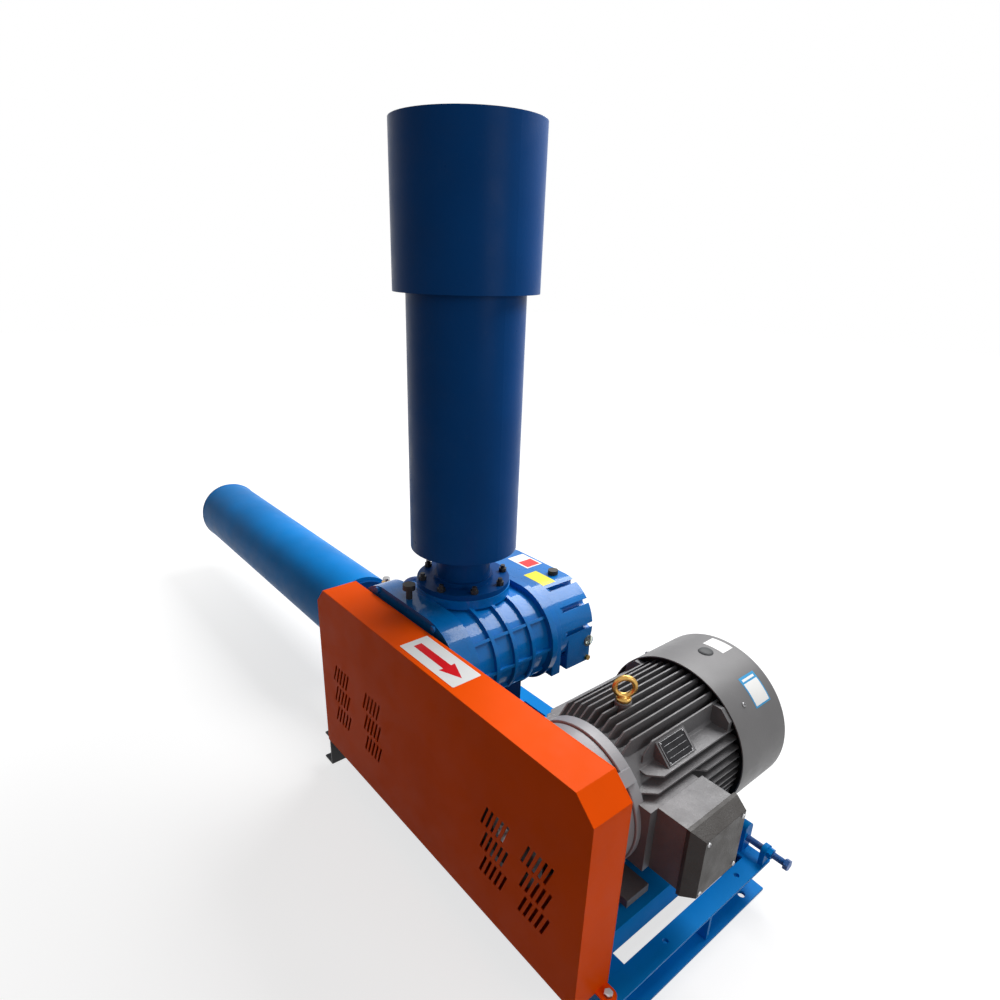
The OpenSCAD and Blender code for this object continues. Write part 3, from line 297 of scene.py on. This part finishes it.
def new_piece(name, bm, mat, body):
    """Finish a mesh: outward normals, smooth shading below the sharp angle, body and slot."""
    bmesh.ops.recalc_face_normals(bm, faces=bm.faces[:])
    for f in bm.faces:
        f.smooth = True
    me = bpy.data.meshes.new(name)
    bm.to_mesh(me)
    bm.free()
    me.set_sharp_from_angle(angle=SHARP)
    me.materials.append(mat)
    ob = bpy.data.objects.new(name, me)
    scene.collection.objects.link(ob)
    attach(ob, body)
    return ob


def bent_label(name, w, h, thick, place, mat, body, n=10):
    """A rectangular label that follows a curved surface: a closed grid of small cells."""
    bm = bmesh.new()
    rows = []
    for layer in (0.0, thick):
        rows.append([[bm.verts.new(place(Vector((w * (i / n - 0.5), h * (j / n - 0.5), layer))))
                      for j in range(n + 1)] for i in range(n + 1)])
    for layer in rows:
        for i in range(n):
            for j in range(n):
                bm.faces.new((layer[i][j], layer[i + 1][j], layer[i + 1][j + 1], layer[i][j + 1]))
    a, b = rows
    rim = [(i, 0) for i in range(n)] + [(n, j) for j in range(n)] + \
          [(i, n) for i in range(n, 0, -1)] + [(0, j) for j in range(n, 0, -1)]
    for k, (i, j) in enumerate(rim):
        p, q = rim[(k + 1) % len(rim)]
        bm.faces.new((a[i][j], a[p][q], b[p][q], b[i][j]))
    new_piece(name, bm, mat, body)


def turn(bm, profile, place, seg, closed=False):
    """Add a turned shape: radius and height pairs, placed by a function. An open profile
    starts on the axis and is capped at its end; a closed one is a ring."""
    rings = []
    for r, z in profile:
        if r == 0:
            rings.append([bm.verts.new(place(Vector((0, 0, z))))])
        else:
            rings.append([bm.verts.new(place(Vector((r * math.cos(2 * math.pi * k / seg),
                                                     r * math.sin(2 * math.pi * k / seg), z))))
                          for k in range(seg)])
    for p, q in zip(rings, rings[1:] + rings[:1] if closed else rings[1:]):
        for k in range(seg):
            m = (k + 1) % seg
            if len(p) == 1:
                bm.faces.new((p[0], q[k], q[m]))
            else:
                bm.faces.new((p[k], q[k], q[m], p[m]))
    if not closed:
        bm.faces.new(rings[-1])


def lathe(name, profile, place, mat, body, seg):
    """A turned piece whose profile starts on its axis."""
    bm = bmesh.new()
    turn(bm, profile, place, seg)
    new_piece(name, bm, mat, body)


def prism(bm, outline, a, b, place):
    """Add a prism: an outline in its own plane from height a to b, placed by a function."""
    lower = [bm.verts.new(place(Vector((x, y, a)))) for x, y in outline]
    upper = [bm.verts.new(place(Vector((x, y, b)))) for x, y in outline]
    bm.faces.new(lower)
    bm.faces.new(upper)
    for k in range(len(outline)):
        m = (k + 1) % len(outline)
        bm.faces.new((lower[k], lower[m], upper[m], upper[k]))


def sheet_piece(name, outline, thick, place, mat, body):
    """A thin flat piece: an outline in its own plane, thickened, then placed by a function."""
    bm = bmesh.new()
    prism(bm, outline, 0.0, thick, place)
    new_piece(name, bm, mat, body)


def bead(name, path, r, mat, body, seg=8):
    """A weld bead: a tube round a closed path, whose radius ripples as a hand-laid weld does."""
    bm = bmesh.new()
    pts = [Vector(p) for p in path]
    loops = []
    for i, p in enumerate(pts):
        t = (pts[(i + 1) % len(pts)] - pts[i - 1]).normalized()
        n = t.cross(Vector((0, 0, 1)) if abs(t.z) < 0.9 else Vector((1, 0, 0))).normalized()
        m = t.cross(n)
        rr = r * (1.0 + 0.16 * math.sin(i * 2.1) + 0.06 * math.sin(i * 0.83))
        loops.append([bm.verts.new(p + (n * math.cos(2 * math.pi * k / seg)
                                        + m * math.sin(2 * math.pi * k / seg)) * rr)
                      for k in range(seg)])
    for i in range(len(loops)):
        p, q = loops[i], loops[(i + 1) % len(loops)]
        for k in range(seg):
            bm.faces.new((p[k], p[(k + 1) % seg], q[(k + 1) % seg], q[k]))
    new_piece(name, bm, mat, body)


def rounded(w, h, r, n=5):
    """Outline of a rectangle with round corners."""
    pts = []
    for cx, cy, a0 in ((w / 2 - r, h / 2 - r, 0), (-w / 2 + r, h / 2 - r, 90),
                       (-w / 2 + r, -h / 2 + r, 180), (w / 2 - r, -h / 2 + r, 270)):
        for i in range(n + 1):
            a = math.radians(a0 + 90 * i / n)
            pts.append((cx + r * math.cos(a), cy + r * math.sin(a)))
    return pts


def flat_place(o, ux, uy):
    """On a plane through o."""
    o, ux, uy = Vector(o), Vector(ux).normalized(), Vector(uy).normalized()
    uz = ux.cross(uy)
    return lambda c: o + ux * c.x + uy * c.y + uz * c.z


def drum_place(cx, cz, r, angle, y0):
    """On a drum along Y: x runs round it towards +X, y along it, z out of it."""
    def place(c):
        a = math.radians(angle) - c.x / r
        return Vector((cx + (r + c.z) * math.cos(a), y0 + c.y, cz + (r + c.z) * math.sin(a)))
    return place


def screw_head(name, place, r, mat, body):
    """A pan head with a socket in it."""
    h = r * 0.62
    lathe(name, [(0, h * 0.35), (r * 0.42, h * 0.35), (r * 0.46, h * 0.96), (r * 0.72, h * 0.88),
                 (r * 0.95, h * 0.5), (r, h * 0.1), (r, -h * 0.3)], place, mat, body, 24)


# Arrow on the guard's top
lo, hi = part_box("guard_cover")
arrow_o = Vector((-0.0585, -0.2955, hi.z + 0.0002))
sheet_piece("arrow_label", rounded(0.203, 0.075, 0.003), 0.0003,
            flat_place(arrow_o, (1, 0, 0), (0, 1, 0)), WHITE, "skid")
arrow = [(-0.0815, -0.0125), (0.0325, -0.0125), (0.0315, -0.0235), (0.0855, -0.002),
         (0.0315, 0.0195), (0.0325, 0.0085), (-0.0815, 0.0085)]
sheet_piece("arrow_mark", arrow, 0.0002,
            flat_place(arrow_o + Vector((0, 0, 0.0003)), (1, 0, 0), (0, 1, 0)),
            RED, "skid")

# Plain labels on the gear cover: its top is flat between the two rounded ends
lo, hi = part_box("gear_cover")
cover_x = (lo.x + hi.x) / 2
cover_end = 0.118
flat_half = (hi.x - lo.x) / 2 - cover_end


def cover_place(x0, y0, lift):
    """On the cover's top and round its end towards the motor."""
    def place(c):
        s = x0 + c.x - cover_x
        z = c.z + lift
        if s <= flat_half:
            return Vector((cover_x + s, y0 + c.y, hi.z + z))
        a = math.pi / 2 - (s - flat_half) / cover_end
        return Vector((cover_x + flat_half + (cover_end + z) * math.cos(a), y0 + c.y,
                       hi.z - cover_end + (cover_end + z) * math.sin(a)))
    return place


LABEL_T = 0.0002
for name, w, h, x, y, lift, mat in (
        ("cover_label_white", 0.084, 0.058, -0.318, 0.191, 0.0002, WHITE),
        ("cover_label_red", 0.040, 0.046, -0.301, 0.191, 0.0005, RED),
        ("cover_label_yellow", 0.078, 0.046, -0.211, 0.1475, 0.0002, YELLOW)):
    bent_label(name, w, h, LABEL_T, cover_place(x, y, lift), mat, "skid")

# Fan cowl: a white label, a blue one with two white fields, a rubber plug and four screws
lo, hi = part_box("fan_cowl")
cowl_x, cowl_z, cowl_r = (lo.x + hi.x) / 2, (lo.z + hi.z) / 2, (hi.x - lo.x) / 2
for name, w, h, thick, lift, angle, y, mat in (
        ("cowl_label_top", 0.058, 0.042, 0.0003, 0.0, 90.0, 0.149, WHITE),
        ("cowl_label_back", 0.077, 0.061, 0.0003, 0.0, 49.1, 0.122, LIGHT_BLUE),
        ("cowl_label_face", 0.056, 0.053, 0.0002, 0.0003, 47.2, 0.122, WHITE),
        ("cowl_label_strip", 0.006, 0.047, 0.0002, 0.0003, 57.6, 0.122, WHITE)):
    bent_label(name, w, h, thick, drum_place(cowl_x, cowl_z, cowl_r + lift, angle, lo.y + y), mat,
               "motor_sled")
plug = drum_place(cowl_x, cowl_z, cowl_r, 90.0, lo.y + 0.0975)
lathe("cowl_plug", [(0, 0.0042), (0.010, 0.0040), (0.0155, 0.0031), (0.0178, 0.0014),
                    (0.0186, 0.0002), (0.0186, -0.0016)], plug, CAP_RUBBER, "motor_sled",
      36)
for i, a in enumerate((44.7, 135.3, 224.7, 315.3)):
    screw_head("cowl_screw_%d" % (i + 1), drum_place(cowl_x, cowl_z, cowl_r, a, lo.y + 0.057),
               0.0055, PLATE_EDGE, "motor_sled")

# Motor body on the motor's axis: stations along it, radii, and the fins' reach, width and pitch
DRUM_Y0, RING_Y0, FIN_Y0, BODY_Y1 = -0.1960, -0.1225, -0.0945, 0.2225
WALL_R, BARREL_R, BARREL_IN, RING_R = 0.142, 0.148, 0.1365, 0.162
FIN_R, FIN_T, FIN_GAP = 0.181, 0.004, 0.020
ROUND = 128


def turned(angle):
    """From the motor's own frame, turned about its axis: x across, y along, z out."""
    c, s = math.cos(math.radians(angle)), math.sin(math.radians(angle))
    return lambda v: Vector((cowl_x + v.x * c + v.z * s, v.y, cowl_z - v.x * s + v.z * c))


def across(angle):
    """The same, for a prism whose outline lies across the axis and whose height runs along it."""
    place = turned(angle)
    return lambda v: place(Vector((v.x, v.z, v.y)))


def on_axis(v):
    """A turned shape's own axis laid along the motor's."""
    return Vector((cowl_x + v.x, v.z, cowl_z + v.y))


def upright(v):
    """A turned shape's own axis standing in the eyebolt's."""
    return Vector((eye_x + v.x, eye_y + v.y, v.z))


def wall(x):
    """Height of the middle of the barrel's wall at a distance across."""
    return math.sqrt(WALL_R * WALL_R - x * x)


def fin(bm, i, angle, y0, reach):
    """Add the fin i places from the middle of a side, from y0 back, with a slanted front."""
    x = i * FIN_GAP
    tip = math.sqrt(reach * reach - x * x)
    root = math.sqrt(RING_R * RING_R - x * x) - 0.002
    place = turned(angle)
    prism(bm, [(y0 + 0.001, wall(x)), (y0 + 0.001, root), (y0 + 0.026, tip - 0.001),
               (y0 + 0.028, tip), (BODY_Y1 - 0.006, tip), (BODY_Y1 - 0.001, tip - 0.005),
               (BODY_Y1 - 0.001, wall(x))],
          x - FIN_T / 2, x + FIN_T / 2, lambda v: place(Vector((v.z, v.x, v.y))))


# Front drum with a joint line, the ring behind it, and four ears with hex heads
DRUM = [(BARREL_IN, DRUM_Y0), (0.150, DRUM_Y0), (0.1545, -0.165), (0.157, -0.1265),
        (0.157, -0.1245), (0.152, -0.1240), (0.152, RING_Y0), (RING_R - 0.0015, RING_Y0),
        (RING_R, RING_Y0 + 0.0015), (RING_R, FIN_Y0), (BARREL_IN, FIN_Y0)]
EAR, EAR_Y = [(-0.017, 0.146), (0.017, 0.146), (0.015, 0.169), (-0.015, 0.169)], (-0.1370, -0.1000)
HEX_R, HEX_OUT, HEX_Y = 0.0098, 0.158, (-0.1430, -0.1368)
bm = bmesh.new()
turn(bm, DRUM, on_axis, ROUND, closed=True)
for angle in (45, 135, 225, 315):
    prism(bm, EAR, *EAR_Y, across(angle))
    prism(bm, [(HEX_R * math.cos(math.radians(a)), HEX_OUT + HEX_R * math.sin(math.radians(a)))
               for a in range(0, 360, 60)], *HEX_Y, across(angle))
drum = new_piece("motor_front_drum", bm, GREY_LIGHT, "motor_sled")
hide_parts("motor_frame")

# Finned barrel: angle, first and last fin, where their fronts begin, reach
box_lo, box_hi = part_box("terminal_box")
FINS = ((0, -5, 4, FIN_Y0, FIN_R), (0, 5, 5, FIN_Y0 + 0.045, FIN_R), (-90, -5, 5, FIN_Y0, FIN_R),
        (90, -5, -5, FIN_Y0 + 0.030, FIN_R), (90, -4, -4, FIN_Y0, FIN_R), (90, 5, 5, FIN_Y0, FIN_R),
        (90, -3, 4, box_hi.y + 0.004, FIN_R), (180, -4, 4, FIN_Y0, FIN_R - 0.010))
bm = bmesh.new()
turn(bm, [(BARREL_IN, FIN_Y0), (RING_R - 0.004, FIN_Y0), (BARREL_R, FIN_Y0 + 0.022),
          (BARREL_R, BODY_Y1), (BARREL_IN, BODY_Y1)], on_axis, ROUND, closed=True)
for angle, first, last, y0, reach in FINS:
    for i in range(first, last + 1):
        fin(bm, i, angle, y0, reach)

# Ledge under the nameplate, between the outer fins of two sides
plate_lo, plate_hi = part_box("motor_nameplate")
PLATE_T, LEDGE_PAST = 0.0015, 0.006
corner = 5 * FIN_GAP
out_sum = (plate_lo.x + plate_hi.x) / 2 - cowl_x + (plate_lo.z + plate_hi.z) / 2 - cowl_z
leg = out_sum - PLATE_T / 2 * math.sqrt(2) - 2 * corner
prism(bm, [(corner, corner), (corner + leg, corner), (corner, corner + leg)],
      plate_lo.y - LEDGE_PAST, plate_hi.y + LEDGE_PAST, across(0))

# Webs at the cowl, in the upper corners
WEB = ((0.100, 0.100), (0.100, 0.148), (0.124, 0.148), (0.148, 0.124), (0.148, 0.100))
for side in (-1, 1):
    prism(bm, [(side * x, z) for x, z in WEB], lo.y - 0.013, lo.y - 0.0005, across(0))

# Neck from the barrel to the terminal box, longer than the box towards the guard
neck_z0, neck_z1 = box_lo.z + 0.002 - cowl_z, box_hi.z - 0.002 - cowl_z
neck = [neck_z0 + (neck_z1 - neck_z0) * k / 12 for k in range(13)]
prism(bm, [(wall(z), z) for z in neck] + [(box_lo.x - cowl_x, neck_z1), (box_lo.x - cowl_x, neck_z0)],
      box_lo.y - 0.022, box_hi.y - 0.010, across(0))

# Four feet on the rails, each with a web up to the barrel
rail_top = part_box("sled_rails")[1].z
FOOT_X, FOOT_YS = 0.1195, (-0.1105, 0.1685)
FOOT_W, FOOT_L, FOOT_T, FOOT_WEB = 0.116, 0.070, 0.020, 0.024
for side in (-1, 1):
    for y in FOOT_YS:
        x0, x1 = (cowl_x + side * FOOT_X + k * FOOT_W / 2 for k in (-1, 1))
        y0, y1 = y - FOOT_L / 2, y + FOOT_L / 2
        prism(bm, [(x0, y0), (x1, y0), (x1, y1), (x0, y1)], rail_top, rail_top + FOOT_T, lambda v: v)
        web = [(0.0755, 0.001), (0.1225, 0.001), (0.1225, FOOT_T)]
        web += [(x, cowl_z - rail_top - wall(x)) for x in (0.1155, 0.1055, 0.0955, 0.0855, 0.0755)]
        prism(bm, [(cowl_x + side * x, rail_top + z) for x, z in web], y - FOOT_WEB / 2,
              y + FOOT_WEB / 2, lambda v: Vector((v.x, v.z, v.y)))

# Boss under the lifting eye
eye_lo, eye_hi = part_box("eyebolt")
eye_x, eye_y = (eye_lo.x + eye_hi.x) / 2, (eye_lo.y + eye_hi.y) / 2
SEAT_Z, BOSS_Z, CORE_R = cowl_z + 0.188, cowl_z + 0.144, 0.001
turn(bm, [(0.019, BOSS_Z), (0.019, SEAT_Z - 0.002), (0.017, SEAT_Z), (CORE_R, SEAT_Z),
          (CORE_R, BOSS_Z)], upright, 32, closed=True)
barrel = new_piece("motor_finned_barrel", bm, GREY_CAST, "motor_sled")
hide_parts("motor_frame")

# Black ring inside the cowl's mouth, in front of the fan: painted shade standing in for the dark gap
# there
GAP_SHADE_R, GAP_SHADE_Y = (0.158, 0.1905), (0.2270, 0.2290)
bm = bmesh.new()
turn(bm, [(GAP_SHADE_R[0], GAP_SHADE_Y[0]), (GAP_SHADE_R[1], GAP_SHADE_Y[0]), (GAP_SHADE_R[1], GAP_SHADE_Y[1]), (GAP_SHADE_R[0], GAP_SHADE_Y[1])],
     on_axis, 96, closed=True)
new_piece("cowl_gap_painted_shade", bm, BLACK, "motor_sled")

# Lifting eye: collar and ring, turned as in the photograph
EYE_R, EYE_T, EYE_TURN, EYE_UP = 0.0225, 0.0064, math.radians(50), 0.034
COLLAR = [(CORE_R, 0.0), (0.0165, 0.0), (0.0175, 0.001), (0.0175, 0.006), (0.015, 0.0085),
          (0.0095, 0.010), (0.0075, 0.014), (CORE_R, 0.014)]
eye_z = SEAT_Z + EYE_UP
bm = bmesh.new()
turn(bm, [(r, SEAT_Z + z) for r, z in COLLAR], upright, 32, closed=True)
turn(bm, [(EYE_R + EYE_T * math.cos(math.radians(30 * k)), EYE_T * math.sin(math.radians(30 * k)))
          for k in range(12)],
     lambda v: Vector((eye_x + v.x * math.cos(EYE_TURN) + v.z * math.sin(EYE_TURN),
                       eye_y + v.x * math.sin(EYE_TURN) - v.z * math.cos(EYE_TURN), eye_z + v.y)),
     64, closed=True)
eye = new_piece("lifting_eye", bm, BRASS, "motor_sled")
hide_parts("eyebolt")

# Terminal lid: four screws in its corners
lo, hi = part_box("terminal_lid")
mid_y, mid_z = (lo.y + hi.y) / 2, (lo.z + hi.z) / 2
half_y, half_z = (hi.y - lo.y) / 2, (hi.z - lo.z) / 2
LID_IN = 0.021
for i, (sy, sz) in enumerate(((-1, -1), (1, -1), (1, 1), (-1, 1))):
    at = (hi.x, mid_y + sy * (half_y - LID_IN), mid_z + sz * (half_z - LID_IN))
    screw_head("lid_screw_%d" % (i + 1), flat_place(at, (0, 1, 0), (0, 0, 1)), 0.0052,
               STEEL, "motor_sled")

# Nameplate: raised edge, ruled cells and rivets on the slanted plate
lo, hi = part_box("motor_nameplate")
slant = Vector((1, 0, 1)).normalized()
along = Vector((1, 0, -1)).normalized()
plate_c = (lo + hi) / 2 + slant * PLATE_T / 2
plate_w, plate_l = (hi.x - lo.x) * math.sqrt(2) - PLATE_T, hi.y - lo.y
plate_at = flat_place(plate_c, (0, 1, 0), tuple(-along))


def plate_bar(name, x0, y0, x1, y1, thick=0.0006):
    sheet_piece(name, [(x0, y0), (x1, y0), (x1, y1), (x0, y1)], thick, plate_at, PLATE_EDGE,
                "motor_sled")


hw, hl = plate_w / 2, plate_l / 2
RIM = 0.0016
plate_bar("plate_edge_1", -hl, -hw, hl, -hw + RIM)
plate_bar("plate_edge_2", -hl, hw - RIM, hl, hw)
plate_bar("plate_edge_3", -hl, -hw + RIM, -hl + RIM, hw - RIM)
plate_bar("plate_edge_4", hl - RIM, -hw + RIM, hl, hw - RIM)
for i in range(3):
    y = -hw + plate_w * (i + 1) / 4
    plate_bar("plate_rule_%d" % (i + 1), -hl + 0.008, y - 0.0004, hl - 0.008, y + 0.0004, 0.0003)
for i, (sx, sy) in enumerate(((-1, -1), (1, -1), (1, 1), (-1, 1))):
    p = plate_at(Vector((sx * (hl - 0.0045), sy * (hw - 0.0045), 0)))
    lathe("plate_rivet_%d" % (i + 1), [(0, 0.0016), (0.0011, 0.0014), (0.0020, 0.0007),
                                       (0.0023, -0.0002)],
          flat_place(p, (0, 1, 0), tuple(-along)), PLATE_EDGE, "motor_sled", 16)


# Weld beads: round the intake silencer's neck, and both ends of the discharge silencer
def ring_path(c, r, axis, n):
    """Points of a circle about c, round a standing axis or one along X."""
    pts = []
    for k in range(n):
        a = 2 * math.pi * k / n
        u, v = r * math.cos(a), r * math.sin(a)
        pts.append((c[0] + u, c[1] + v, c[2]) if axis == "z" else (c[0], c[1] + u, c[2] + v))
    return pts


lo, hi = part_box("inlet_silencer")
sil = (lo + hi) / 2
bead("weld_neck", ring_path((sil.x, sil.y, lo.z - 0.0004), 0.0705, "z", 150), 0.0022,
     NAVY, "skid")
lo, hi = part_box("discharge_silencer")
pipe = (lo + hi) / 2
bead("weld_pipe", ring_path((hi.x + 0.0004, pipe.y, pipe.z), 0.0715, "x", 150), 0.0022,
     BLUE, "skid")
bead("weld_flange", ring_path((lo.x + 0.0022, pipe.y, pipe.z), (hi.z - lo.z) / 2, "x", 260),
     0.0018, BLUE, "skid")


# Floor and backdrop
def white_rays(tree):
    """1 for rays that should meet the white background."""
    path = tree.nodes.new("ShaderNodeLightPath")
    last = path.outputs["Is Camera Ray"]
    for other in ("Is Glossy Ray", "Is Transmission Ray"):
        m = tree.nodes.new("ShaderNodeMath")
        m.operation = "MAXIMUM"
        tree.links.new(last, m.inputs[0])
        tree.links.new(path.outputs[other], m.inputs[1])
        last = m.outputs[0]
    return last


def floor_material():
    """Grey for the light that it returns, near white where it is seen, with the shadow kept."""
    m = bpy.data.materials.new("floor")
    m.use_nodes = True
    t = m.node_tree
    t.nodes.clear()
    out = t.nodes.new("ShaderNodeOutputMaterial")
    plain = t.nodes.new("ShaderNodeBsdfDiffuse")
    plain.inputs["Color"].default_value = (0.26, 0.26, 0.26, 1)
    seen = t.nodes.new("ShaderNodeBsdfDiffuse")
    seen.inputs["Color"].default_value = (0.36, 0.36, 0.36, 1)
    glow = t.nodes.new("ShaderNodeEmission")
    glow.inputs["Color"].default_value = (1, 1, 1, 1)
    coord = t.nodes.new("ShaderNodeTexCoord")
    dist = t.nodes.new("ShaderNodeVectorMath")
    dist.operation = "LENGTH"
    t.links.new(coord.outputs["Object"], dist.inputs[0])
    fade = t.nodes.new("ShaderNodeMapRange")
    fade.interpolation_type = "SMOOTHSTEP"
    fade.inputs["From Min"].default_value = 1.0
    fade.inputs["From Max"].default_value = 3.2
    fade.inputs["To Min"].default_value = 0.72
    fade.inputs["To Max"].default_value = 1.0
    t.links.new(dist.outputs["Value"], fade.inputs["Value"])
    t.links.new(fade.outputs["Result"], glow.inputs["Strength"])
    both = t.nodes.new("ShaderNodeAddShader")
    t.links.new(seen.outputs[0], both.inputs[0])
    t.links.new(glow.outputs[0], both.inputs[1])
    pick = t.nodes.new("ShaderNodeMixShader")
    t.links.new(white_rays(t), pick.inputs[0])
    t.links.new(plain.outputs[0], pick.inputs[1])
    t.links.new(both.outputs[0], pick.inputs[2])
    t.links.new(pick.outputs[0], out.inputs["Surface"])
    return m


bm = bmesh.new()
bmesh.ops.create_grid(bm, x_segments=1, y_segments=1, size=14.0)
me = bpy.data.meshes.new("floor")
bm.to_mesh(me)
bm.free()
me.materials.append(floor_material())
floor = bpy.data.objects.new("floor", me)
floor.location.z = -0.0005
scene.collection.objects.link(floor)

world = bpy.data.worlds.new("world")
scene.world = world
world.use_nodes = True
t = world.node_tree
bg = next(n for n in t.nodes if n.type == "BACKGROUND")
out = next(n for n in t.nodes if n.type == "OUTPUT_WORLD")
bg.inputs["Color"].default_value = (1, 1, 1, 1)
bg.inputs["Strength"].default_value = 0.17
white = t.nodes.new("ShaderNodeBackground")
white.inputs["Color"].default_value = (1, 1, 1, 1)
white.inputs["Strength"].default_value = 1.0
pick = t.nodes.new("ShaderNodeMixShader")
t.links.new(white_rays(t), pick.inputs[0])
t.links.new(bg.outputs[0], pick.inputs[1])
t.links.new(white.outputs[0], pick.inputs[2])
t.links.new(pick.outputs[0], out.inputs["Surface"])


# Lights: a wide soft box above and behind, and a weak fill at the motor end
def area(name, loc, target, width, depth, power):
    d = bpy.data.lights.new(name, "AREA")
    d.shape = "RECTANGLE"
    d.size = width
    d.size_y = depth
    d.energy = power
    o = bpy.data.objects.new(name, d)
    o.location = loc
    o.rotation_euler = (Vector(target) - Vector(loc)).to_track_quat("-Z", "Y").to_euler()
    scene.collection.objects.link(o)


area("key", (-0.40, 1.75, 2.75), (-0.20, 0, 0.5), 2.9, 1.3, 122)
area("fill", (3.0, 0.2, 1.7), (0.1, 0, 0.4), 1.6, 1.6, 19)
